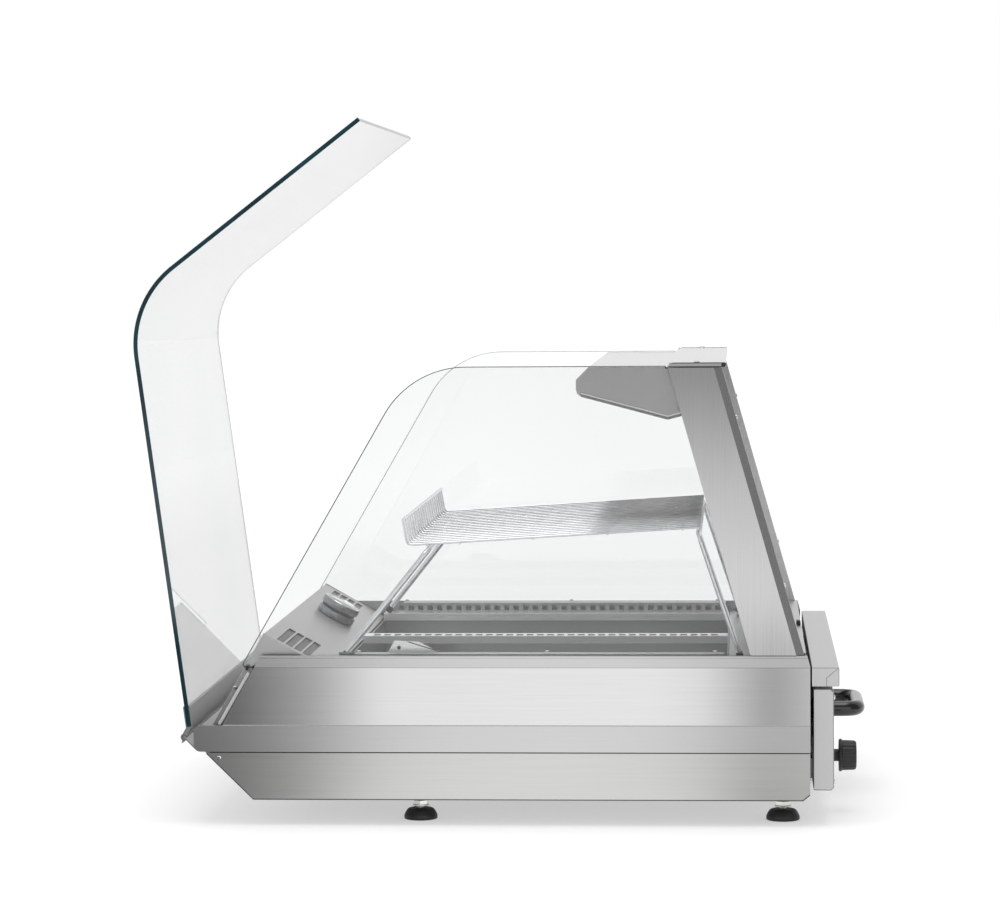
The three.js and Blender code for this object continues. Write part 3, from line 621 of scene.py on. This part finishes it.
def dialMarks(bm, radius, height, numbers, size, index, zero, turns, steps, out):
    # ticks and numbers clockwise from zero over turns degrees, read from the +Z side; out puts them outside
    for i in range(steps + 1):
        a = math.radians(zero - turns * i / steps)
        major = i % (steps // (len(numbers) - 1)) == 0
        length, width = (radius * 0.13, radius * 0.03) if major else (radius * 0.08, radius * 0.016)
        tick = bmesh.new()
        bmesh.ops.create_cube(tick, size=1)
        bmesh.ops.scale(tick, vec=(length, width, 0.12), verts=tick.verts)
        middle = radius + length / 2 if out else radius - length / 2
        bmesh.ops.translate(tick, vec=(middle, 0, height), verts=tick.verts)
        joinInto(bm, tick, Matrix.Rotation(a, 4, "Z"), index)
    r = radius * (1.33 if out else 0.72)
    for i, number in enumerate(numbers):
        a = math.radians(zero - turns * i / (len(numbers) - 1))
        numeral(bm, str(number), size, Matrix.Translation((r * math.cos(a), r * math.sin(a), height)), index)


def makeThermometer(d):
    tilt = math.radians(d["tilt"])
    axis = Vector((0, math.sin(tilt), math.cos(tilt)))
    upSlope = Vector((0, -math.cos(tilt), math.sin(tilt)))
    right = upSlope.cross(axis)
    place = Matrix.Translation(Vector(d["place"])) @ Matrix((right, upSlope, axis)).transposed().to_4x4()
    r = d["radius"]
    bm = bmesh.new()
    case = turned([(0, 1.2), (r - 1.4, 1.2), (r - 0.4, 1.6), (r, 2.8), (r, 9.6), (r - 0.4, 10.8),
                   (r - 1.4, 11.5), (r - 2.8, 12.0), (r - 2.8, 14.6), (r - 1.4, 15.1), (r - 0.4, 15.8),
                   (r, 17.0), (r, 24.4), (r - 0.5, 25.8), (r - 1.6, 26.6), (r - 2.6, 26.4), (r - 3.0, 25.8),
                   (r - 3.0, 23.0), (0, 23.0)], 64)
    for f in case.faces:
        spot = f.calc_center_median()
        if 11.8 < spot.z < 14.8 and spot.xy.length > r - 3.2:
            f.material_index = 3                  # painted shade on the neck between body and bezel
        elif spot.z > 25.2 and spot.xy.length > r - 3.2:
            f.material_index = 4                  # painted highlight on the rim
    joinInto(bm, case)
    face = turned([(0, 22.9), (r - 3.3, 22.9), (r - 3.3, 23.15), (0, 23.15)], 64)
    joinInto(bm, face, None, 1)
    dialMarks(bm, r - 4.2, 23.2, d["numbers"], 4.2, 2, 225, d["sweep"], 24, False)
    bmesh.ops.transform(bm, matrix=place, verts=bm.verts)
    putPiece("thermometerBody", bm, [sheetCase, dialWhite, blackMatt, gapShade, brightSteelAndHighlight], "casing",
             ["thermometer_case"], recalc=False)
    bm = turned([(0, 25.2), (r - 3.4, 25.2), (r - 3.4, 25.9), (r * 0.5, 26.2), (0, 26.4)], 64)
    bmesh.ops.transform(bm, matrix=place, verts=bm.verts)
    putPiece("thermometerLens", bm, [paneFar], "casing", ["thermometer_glass"], recalc=False)
    bm = bmesh.new()
    hub = turned([(0, 23.3), (2.6, 23.3), (2.6, 24.1), (2.0, 24.5), (0, 24.5)], 24)
    joinInto(bm, hub, None, 0)
    arm = bmesh.new()
    sweep(arm, [(-1.5, -7), (1.5, -7), (1.1, 8), (0.25, 20), (-0.25, 20), (-1.1, 8)], 23.5, 24.0, "z")
    bmesh.ops.recalc_face_normals(arm, faces=arm.faces)
    joinInto(bm, arm, Matrix.Rotation(math.radians(d["rest"]), 4, "Z"), 0)
    bmesh.ops.transform(bm, matrix=place, verts=bm.verts)
    putPiece("thermometerHand", bm, [blackMatt], "needle", ["thermometer_needle"], recalc=False)


makeThermometer(dial)
print("thermometer ready")


# what sits on the front of the heating unit
handle = {"thick": 11.0, "half": 75.0, "z": 122.3, "out": 494.7, "face": 452.3}
knob = {"x": 250.0, "z": 78.8, "face": 452.3, "radius": 22.8, "flutes": 18, "fluteDepth": 0.045}
scale = {"inner": 25.5, "numbers": range(10), "size": 5.0, "sweep": 270, "steps": 27}
panelParts = {"face": 452.1, "pilotX": -240, "glandX": -345}
outwards = Matrix(((-1, 0, 0), (0, 0, 1), (0, 1, 0))).to_4x4()       # turns Z to the operator's side


def makeHandle(h):
    bm = bmesh.new()
    line = [(h["half"], h["face"] + 0.1, h["z"]), (h["half"], h["out"], h["z"]),
            (-h["half"], h["out"], h["z"]), (-h["half"], h["face"] + 0.1, h["z"])]
    pipe(bm, bendCorners(line, 26, 14), h["thick"], 10)
    for side in (1, -1):
        collar = turned([(0, 0), (12.8, 0), (13.4, 0.6), (13.4, 2.2), (12.4, 3.2), (10.9, 3.6), (0, 3.6)], 40)
        joinInto(bm, collar, aimZ((side * h["half"], h["face"], h["z"]), (0, 1, 0)))
    putPiece("drawerGrip", bm, [blackGloss], "heating_unit", ["drawer_handle"], recalc=False)


def makeKnob(k):
    r = k["radius"]
    part = turned([(0, 0), (8.6, 0), (8.6, 9.4), (9.2, 9.9), (r - 1.2, 9.9), (r - 0.3, 10.4), (r, 11.4),
                   (r, 13.4), (r - 0.8, 14.4), (r - 1.6, 14.9), (r - 1.7, 20), (r - 1.9, 26), (r - 2.1, 30.5),
                   (r - 3.0, 33.2), (r - 5.0, 34.4), (r - 8.0, 34.6), (0, 34.0)], 144)
    for v in part.verts:
        if 14.8 < v.co.z < 33.5:
            a = math.atan2(v.co.y, v.co.x)
            dip = 0.5 + 0.5 * math.cos(a * k["flutes"])
            v.co.xy *= 1 - k["fluteDepth"] * dip ** 2
    bm = bmesh.new()
    joinInto(bm, part)
    mark = bmesh.new()
    bmesh.ops.create_cube(mark, size=1)
    bmesh.ops.scale(mark, vec=(1.4, 12, 0.5), verts=mark.verts)
    bmesh.ops.translate(mark, vec=(0, 12.6, 34.35), verts=mark.verts)
    joinInto(bm, mark, None, 1)
    place = Matrix.Translation((k["x"], k["face"], k["z"]))
    bmesh.ops.transform(bm, matrix=place @ outwards, verts=bm.verts)
    putPiece("thermostatGrip", bm, [blackMatt, dialWhite], "knob", ["thermostat_knob"], recalc=False)


def makePanelMarks(k, s, c):
    bm = bmesh.new()
    dialMarks(bm, s["inner"], 0.12, s["numbers"], s["size"], 0, 90, s["sweep"], s["steps"], True)
    place = Matrix.Translation((k["x"], c["face"] - 0.1, k["z"]))
    bmesh.ops.transform(bm, matrix=place @ outwards, verts=bm.verts)
    putPiece("thermostatScale", bm, [blackMatt], "heating_unit", recalc=False)


def makePilotAndGland(k, c):
    bm = bmesh.new()
    lens = turned([(0, -10), (5, -10), (5, 0.8), (5.6, 1.4), (5.4, 3.0), (3.6, 4.2), (0, 4.6)], 32)
    joinInto(bm, lens, None, 0)
    bezel = turned([(0, 0.1), (7.4, 0.1), (7.8, 0.5), (7.4, 1.7), (5.9, 2.0), (5.7, 1.2), (0, 1.2)], 32)
    joinInto(bm, bezel, None, 1)
    bmesh.ops.transform(bm, matrix=aimZ((c["pilotX"], c["face"], k["z"]), (0, 1, 0)), verts=bm.verts)
    putPiece("pilotLens", bm, [amber, chrome], "heating_unit", ["pilot_lamp"], recalc=False)
    bm = bmesh.new()
    nut = turned([(0, 0), (11.2, 0), (12.0, 0.5), (12.0, 4.4), (11.2, 5.0), (0, 5.0)], 6)
    joinInto(bm, nut)
    dome = turned([(0, 4), (9.5, 4), (9.5, 10.4), (8.6, 12.4), (6.6, 13.0), (4.3, 13.0), (4.0, 12.0),
                   (4.0, 2), (0, 2)], 40)
    for v in dome.verts:
        if 4.5 < v.co.z < 10 and v.co.xy.length > 9:
            v.co.xy *= 0.985
    joinInto(bm, dome)
    bmesh.ops.transform(bm, matrix=aimZ((c["glandX"], c["face"], k["z"]), (0, 1, 0)), verts=bm.verts)
    putPiece("cordGland", bm, [blackMatt], "heating_unit", ["cable_gland"], recalc=False)


makeHandle(handle)
makeKnob(knob)
makePanelMarks(knob, scale, panelParts)
makePilotAndGland(knob, panelParts)
print("controls ready")


# levelling feet
feet = {"x": 330.0, "front": -119.7, "rear": 383.0, "pad": 23.2, "nut": 10.6, "thread": 4.5,
        "threadSpan": (15.9, 34.6), "pitch": 1.0}


def makeFoot(f, row, side):
    y = f[row]
    r = f["pad"]
    tag = row + "_%s_" + ("right" if side > 0 else "left")
    bm = turned([(0, 0.2), (r - 4.5, 0.2), (r - 3.8, 0), (r - 1.6, 0), (r - 0.4, 0.6), (r, 1.8),
                 (r - 0.1, 5.4), (r - 0.8, 7.2), (r - 2.6, 10.6), (r - 4.4, 13.2), (r - 6.2, 14.6),
                 (r - 8.2, 15.2), (r - 10, 15.3), (0, 15.3)], 56)
    bmesh.ops.translate(bm, vec=(side * f["x"], y, 0), verts=bm.verts)
    putPiece("footPad" + row.title() + str(side), bm, [rubber], "casing", ["foot_" + tag % "pad"],
             recalc=False)
    bm = bmesh.new()
    t = f["thread"]
    rod = [(0, 15.6), (t - 0.4, 15.6)]
    z, end = f["threadSpan"]
    while z < end:
        rod += [(t - 0.5, z), (t, z + 0.35), (t - 0.5, z + 0.7)]
        z += f["pitch"]
    rod += [(t - 0.5, 35.7), (0, 35.7)]
    joinInto(bm, turned(rod, 24))
    washer = turned([(0, 18.6), (11.4, 18.6), (11.6, 18.8), (11.6, 19.6), (11.4, 19.8), (0, 19.8)], 40)
    joinInto(bm, washer)
    n = f["nut"]
    nut = turned([(0, 19.8), (n - 1.0, 19.8), (n, 20.5), (n, 25.8), (n - 1.0, 26.5), (0, 26.5)], 6)
    joinInto(bm, nut)
    bmesh.ops.translate(bm, vec=(side * f["x"], y, 0), verts=bm.verts)
    putPiece("footStud" + row.title() + str(side), bm, [zinc], "casing", ["foot_" + tag % "stud"],
             smooth=30, recalc=False)


for row in ("front", "rear"):
    for side in (1, -1):
        makeFoot(feet, row, side)
print("feet ready")


# screws and small parts
screws = {
    "heightToRadius": 2.0 / 3.6,
    "sides": [                    # place on the right side, its way out and the head's radius
        ((381.7, -371, 189), (1, 0, 0), 3.0), ((399.3, -392, 94), (1, 0, 0), 3.0),
        ((372.6, 245, 582), (1, 0, 0), 3.0), ((150, -176, 169.5), (0, 0.24, 0.97), 4.0),
        ((392, 267, 634.8), (0, 0, 1), 4.5), ((370, -200, 238.1), (0, 0, 1), 3.2),
        ((370, 60, 238.1), (0, 0, 1), 3.2), ((370, 290, 238.1), (0, 0, 1), 3.2),
    ],
    "post": {"x": 383, "fromFrame": 71.1, "heights": (330, 560), "radius": 3.2},
    "sill": ((390, 419.6, 62), (0, 1, 0), 3.2),
    "unit": {"x": 378, "y": 452.1, "heights": (60, 176), "radius": 3.6},
}


def screwHead(bm, place, way, radius, index=0):
    r = radius
    h = screws["heightToRadius"] * r
    part = turned([(0, -0.2), (r, -0.2), (r, h * 0.25), (r * 0.9, h * 0.62), (r * 0.66, h * 0.9),
                   (0.42 * r, h), (0.40 * r, h * 0.45), (0, h * 0.45)], 24)
    joinInto(bm, part, aimZ(place, way), index)
    # the cross recess is drawn in the piece's material 1, painted shade
    for turn in (0, math.pi / 2):
        cross = bmesh.new()
        bmesh.ops.create_cube(cross, size=1)
        bmesh.ops.scale(cross, vec=(r * 0.24, r * 0.78, h * 0.3), verts=cross.verts)
        bmesh.ops.translate(cross, vec=(0, 0, h * 0.46), verts=cross.verts)
        joinInto(bm, cross, aimZ(place, way, turn), 1)


def makeFastenings(s):
    bm = bmesh.new()
    post = s["post"]
    tilt = (0, math.cos(rearPlane["lean"]), math.sin(rearPlane["lean"]))
    for side in (1, -1):
        onPost = [((post["x"], *rearLine(post["fromFrame"], z)), tilt, post["radius"])
                  for z in post["heights"]]
        for (x, y, z), (wayX, wayY, wayZ), radius in s["sides"] + onPost + [s["sill"]]:
            screwHead(bm, (side * x, y, z), (side * wayX, wayY, wayZ), radius)
    putPiece("fastenings", bm, [zinc, gapShade], "casing", recalc=False)
    bm = bmesh.new()
    unit = s["unit"]
    for x in (-unit["x"], unit["x"]):
        for z in unit["heights"]:
            screwHead(bm, (x, unit["y"], z), (0, 1, 0), unit["radius"])
    putPiece("unitScrews", bm, [zinc, gapShade], "heating_unit", recalc=False)


small = {
    "nearStop": ((-11, 407.4, 237.3), (11, 413.6, 243.5)),
    "glassStops": {"x": (390.2, 393.6), "y": (-353, -343.4), "z": 217.5},
    "foldLines": {"x": 396.05, "thick": 0.28, "hairThick": 0.24},
    "seam": {"x": (399.15, 399.75), "y": (-405, 418.6), "z": (100.6, 102.0)},
    "boxEdge": {"x": 388.1, "thick": 0.35},
    "trayEdgeShade": {"x": 399.0, "thick": 0.8},
    "screen": {"tilt": -28.7, "origin": (-330.8, 263.3), "spans": ((216, 364), (-364, -216)), "past": 4,
               "reach": (14, 74), "below": (-2.6, -1.9)},
    # lifts: heights of a painted highlight strip and of the painted shade strip under it
    "canopyHem": {"x": (372.6, 373.8), "lifts": ((3.4, 5.0), (0.0, 3.4)),
                  "edge": [(108.5, 588.6), (227.0, 556.9), (246.2, 561.8), (262.0, 565.6)]},
    "canopyTop": ((-372, 119.5, 628.4), (372, 246, 629.0)),
    "railEnd": 400.0,
    "bracket": {"x": (353.0, 354.2), "outline": [(-161, 236.0), (-92, 236.0), (-118, 249.5), (-152, 251.5)],
                "foot": ((340, -161, 235.6), (354, -92, 236.6))},
}


def strip(bm, points, low, high, index=None):
    # a flat outline drawn out along x, with its faces turned outwards
    part = bmesh.new()
    sweep(part, points, low, high)
    bmesh.ops.recalc_face_normals(part, faces=part.faces)
    joinInto(bm, part, index=index)


def makeStopsAndLines(s):
    bm = bmesh.new()
    block(bm, *s["nearStop"], 1.2)
    stops = s["glassStops"]
    for side in (1, -1):
        low, high = sorted(side * x for x in stops["x"])
        for y in stops["y"]:
            block(bm, (low, y - 1.8, stops["z"] - 3.6), (high, y + 1.8, stops["z"] + 3.0), 0.6)
    putPiece("blackStops", bm, [blackMatt], "casing")
    bm = bmesh.new()
    # painted shade: dark lines along the fold creases, and a dark strip in the seam between tray and side
    # panel
    fold, seam = s["foldLines"], s["seam"]
    for side in (1, -1):
        x = side * fold["x"]
        for a, b in (((442, 193), (442, 204.6)), ((442, 204.6), (458.6, 218.1))):
            pipe(bm, [(x, *a), (x, *b)], fold["thick"], 1)
        for line in ([(x - 0.02, 424, 218.2), (x - 0.02, 457.2, 218.2)], [(x, 459, 194), (x, 459, 217)]):
            pipe(bm, line, fold["hairThick"], 1)
        low, high = sorted(side * x for x in seam["x"])
        block(bm, (low, seam["y"][0], seam["z"][0]), (high, seam["y"][1], seam["z"][1]), 0.15, 1)
    putPiece("gapShadeLines", bm, [gapShade], "casing", recalc=False)
    bm = bmesh.new()
    # painted shade along the control box's edges
    for side in (1, -1):
        outline = [(425.2, 50.0), (448.0, 49.6), (451.4, 53.0), (451.4, 184.0), (448.0, 187.4)]
        pipe(bm, [(side * s["boxEdge"]["x"], *at) for at in outline], s["boxEdge"]["thick"], 1)
    putPiece("boxEdgeShadeLines", bm, [edgeShadeSteel], "heating_unit", recalc=False)
    bm = bmesh.new()
    # painted shade along the tray's lower edges
    for side in (1, -1):
        outline = [(-409.5, 99.8), (-345.0, 36.5), (409.5, 36.5), (418.9, 44.2)]
        pipe(bm, [(side * s["trayEdgeShade"]["x"], *at) for at in outline], s["trayEdgeShade"]["thick"], 2)
    putPiece("trayEdgeShadeLines", bm, [edgeShadeSteel], "casing", recalc=False)


def makeSheetParts(s):
    bm = bmesh.new()
    # painted shade: a dark sheet under each row of slots
    screen = s["screen"]
    tilt, (y, z) = math.radians(screen["tilt"]), screen["origin"]
    (near, far), (under, over) = screen["reach"], screen["below"]
    points = [(y + u * math.cos(tilt) - w * math.sin(tilt), z + u * math.sin(tilt) + w * math.cos(tilt))
              for u, w in ((near, under), (far, under), (far, over), (near, over))]
    for low, high in screen["spans"]:
        strip(bm, points, low - screen["past"], high + screen["past"])
    putPiece("slotShadeSheets", bm, [slotShade], "casing")
    bm = bmesh.new()
    # a painted highlight strip over a painted shade strip along the canopy's side hem
    hem = s["canopyHem"]
    for side in (1, -1):
        low, high = sorted(side * x for x in hem["x"])
        for index, lifts in enumerate(hem["lifts"]):
            under, over = ([(y, z + lift) for y, z in hem["edge"]] for lift in lifts)
            strip(bm, under + over[::-1], low, high, index)
    putPiece("canopyHemLightAndShade", bm, [brightSteelAndHighlight, hemShadeSteel], "casing")
    bm = bmesh.new()
    block(bm, *s["canopyTop"], 0.2, 1)
    putPiece("canopyTop", bm, [brightSteelAndHighlight], "casing")
    bm = bmesh.new()
    # painted shade in the gaps at the rail ends
    for side in (1, -1):
        x = side * (s["railEnd"] + 0.1)
        pipe(bm, [(x, 229, 634.3), (x, 305.5, 634.3)], 0.45, 1)
        pipe(bm, [(x, 228, 629.4), (x, 303, 629.4), (x, 306.1, 631.5), (x, 306.1, 634.0)], 0.6, 2)
        low, high = sorted((x - side * 0.1, x + side * 0.3))
        block(bm, (low, 300.5, 629.6), (high, 305.8, 634.0), 0.15, 1)
        x = side * (s["railEnd"] - 0.6)
        pipe(bm, [(x, 234, 634.8), (x, 305.5, 634.8)], 0.4, 1)
    putPiece("railEndLines", bm, [gapShade], "casing", recalc=False)
    bm = bmesh.new()
    bracket = s["bracket"]
    strip(bm, bracket["outline"], *bracket["x"])
    block(bm, *bracket["foot"], 0.3, 1)
    screwHead(bm, (354.3, -146, 241.5), (1, 0, 0), 2.6, 1)
    # a painted shade line along the bracket's slanted edge
    pipe(bm, [(354.4, -134, 249.8), (354.4, -91, 236.6)], 0.7, 1, 1)
    putPiece("deflectorBracket", bm, [brightSteelAndHighlight, gapShade], "casing", recalc=False)


makeFastenings(screws)
makeStopsAndLines(small)
makeSheetParts(small)
print("fastenings ready")


# floor and light, in metres
studio = {
    "floor": "#cbcbcb",
    "floorSize": 30,
    "floorGlow": [(0.4, 0.43), (8.0, 0.57)],        # glow near the object and far from it, by metres
    "back": 1.0, "round": 0.80,                     # world level behind the object and all round it
    "cards": {
        "side": {"near": 0.41, "far": 0.75, "span": (-1.5, 1.5), "high": 1.3, "level": 1.5,
                 "turnover": (0.215, 0.27),         # heights between which across gives way to up
                 "across": [(-0.80, 0.14), (-0.42, 0.22), (-0.30, 0.68), (-0.20, 1.44), (0.20, 1.50),
                            (0.27, 1.36), (0.37, 0.58), (0.46, 1.10), (0.90, 1.10)],
                 "up": [(0.24, 1.50), (0.45, 1.06), (0.60, 0.50), (0.80, 0.30)]},
        "rear": {"x": -1.7, "span": (-2.0, 0.9), "high": 2.2,
                 "up": [(0.0, 0.78), (0.30, 0.80), (0.45, 0.93), (0.75, 0.93), (0.87, 0.82), (2.2, 0.82)]},
    },
    "flag": {"y": 1.1, "span": (0.0, 1.5), "high": 1.5, "level": 0.30},
    "top": {"place": (0.3, 0.0, 3.0), "aim": (0, 0, 0.3), "size": (2.6, 2.6), "watts": 40},
}
clearance = 0.002         # metres between the floor and a card


def gloss(name, points, low, high, axis):
    # a card that only reflections see, drawn out along axis
    bm = bmesh.new()
    rows = []
    for p, z in points:
        ends = [(p, low, z), (p, high, z)] if axis == "y" else [(low, p, z), (high, p, z)]
        rows.append([bm.verts.new(e) for e in ends])
    for r, t in zip(rows, rows[1:]):
        bm.faces.new((r[0], r[1], t[1], t[0]))
    mesh = bpy.data.meshes.new(name)
    bm.to_mesh(mesh)
    bm.free()
    board = bpy.data.objects.new(name, mesh)
    bpy.context.collection.objects.link(board)
    board.visible_camera = False
    board.visible_diffuse = False
    board.visible_shadow = False
    board.visible_transmission = False
    return board


def lightUp(board, mat, strength, colour=None):
    glow = addNode(mat, "ShaderNodeEmission", {"Strength": strength}, {"Color": colour} if colour else None)
    board.data.materials.append(finishMaterial(mat, glow.outputs["Emission"]))


def makeFloor(s):
    bm = bmesh.new()
    bmesh.ops.create_grid(bm, x_segments=1, y_segments=1, size=s["floorSize"])
    mesh = bpy.data.meshes.new("floor")
    bm.to_mesh(mesh)
    bm.free()
    floor = bpy.data.objects.new("floor", mesh)
    bpy.context.collection.objects.link(floor)
    mat = blankMaterial("pale floor")
    where = addNode(mat, "ShaderNodeTexCoord")
    reach = addNode(mat, "ShaderNodeVectorMath", {"operation": "LENGTH"}, {0: where.outputs["Object"]})
    (near, low), (far, high) = s["floorGlow"]
    glow = addNode(mat, "ShaderNodeMapRange",
                   {"interpolation_type": "SMOOTHSTEP", "From Min": near, "From Max": far,
                    "To Min": low, "To Max": high}, {"Value": reach.outputs["Value"]})
    shader = addNode(mat, "ShaderNodeBsdfPrincipled",
                     {"Base Color": hexColour(s["floor"]), "Roughness": 0.9, "Specular IOR Level": 0.1,
                      "Emission Color": (1, 1, 1, 1)}, {"Emission Strength": glow.outputs["Result"]})
    mesh.materials.append(finishMaterial(mat, shader.outputs["BSDF"]))


def makeCards(s):
    card = s["cards"]["side"]
    (a, b), top, level = card["span"], card["high"], card["level"]
    outline = [(card["near"], clearance), (card["far"], clearance), (card["far"], top)]
    board = gloss("sideCard", outline, a, b, "y")
    mat = blankMaterial("side card")
    where = addNode(mat, "ShaderNodeTexCoord")
    split = addNode(mat, "ShaderNodeSeparateXYZ", links={"Vector": where.outputs["Object"]})
    tones = []
    for key, axis, low, high in (("across", "Y", a, b), ("up", "Z", 0.0, top)):
        place = addNode(mat, "ShaderNodeMapRange", {"From Min": low, "From Max": high},
                        {"Value": split.outputs[axis]})
        stops = [((at - low) / (high - low), tone / level) for at, tone in card[key]]
        tones.append(ramp(mat, place.outputs["Result"], stops).outputs["Color"])
    low, high = card["turnover"]
    above = addNode(mat, "ShaderNodeMapRange",
                    {"interpolation_type": "SMOOTHSTEP", "From Min": low, "From Max": high},
                    {"Value": split.outputs["Z"]})
    both = addNode(mat, "ShaderNodeMix", {"data_type": "RGBA"},
                   {0: above.outputs["Result"], 6: tones[0], 7: tones[1]})
    lightUp(board, mat, level, both.outputs[2])

    card = s["cards"]["rear"]
    board = gloss("rearCard", [(card["x"], clearance), (card["x"], card["high"])], *card["span"], "y")
    mat = blankMaterial("rear card")
    where = addNode(mat, "ShaderNodeTexCoord")
    split = addNode(mat, "ShaderNodeSeparateXYZ", links={"Vector": where.outputs["Object"]})
    place = addNode(mat, "ShaderNodeMapRange", {"From Max": card["high"]}, {"Value": split.outputs["Z"]})
    stops = [(at / card["high"], tone) for at, tone in card["up"]]
    lightUp(board, mat, 1.0, ramp(mat, place.outputs["Result"], stops).outputs["Color"])

    flag = s["flag"]
    board = gloss("rearFlag", [(flag["y"], clearance), (flag["y"], flag["high"])], *flag["span"], "x")
    lightUp(board, blankMaterial("rear flag"), flag["level"])


def makeLight(s):
    world = bpy.data.worlds.new("studio")
    bpy.context.scene.world = world
    world.use_nodes = True
    where = addNode(world, "ShaderNodeTexCoord")
    split = addNode(world, "ShaderNodeSeparateXYZ", links={"Vector": where.outputs["Generated"]})
    level = addNode(world, "ShaderNodeMapRange",
                    {"interpolation_type": "SMOOTHSTEP", "From Min": -0.93, "From Max": -0.45,
                     "To Min": s["back"], "To Max": s["round"]}, {"Value": split.outputs["X"]})
    sky = world.node_tree.nodes["Background"]
    world.node_tree.links.new(level.outputs["Result"], sky.inputs["Strength"])
    sky.inputs["Color"].default_value = (1, 1, 1, 1)
    box = s["top"]
    data = bpy.data.lights.new("top", "AREA")
    data.shape = "RECTANGLE"
    data.size, data.size_y = box["size"]
    data.energy = box["watts"]
    light = bpy.data.objects.new("top", data)
    bpy.context.collection.objects.link(light)
    light.location = box["place"]
    way = Vector(box["aim"]) - Vector(box["place"])
    light.rotation_euler = way.to_track_quat("-Z", "Y").to_euler()


makeFloor(studio)
makeCards(studio)
makeLight(studio)
bpy.context.scene.view_settings.view_transform = "Standard"
bpy.context.scene.cycles.transparent_max_bounces = 24       # the stacked panes need more than the usual 8
print("studio ready")
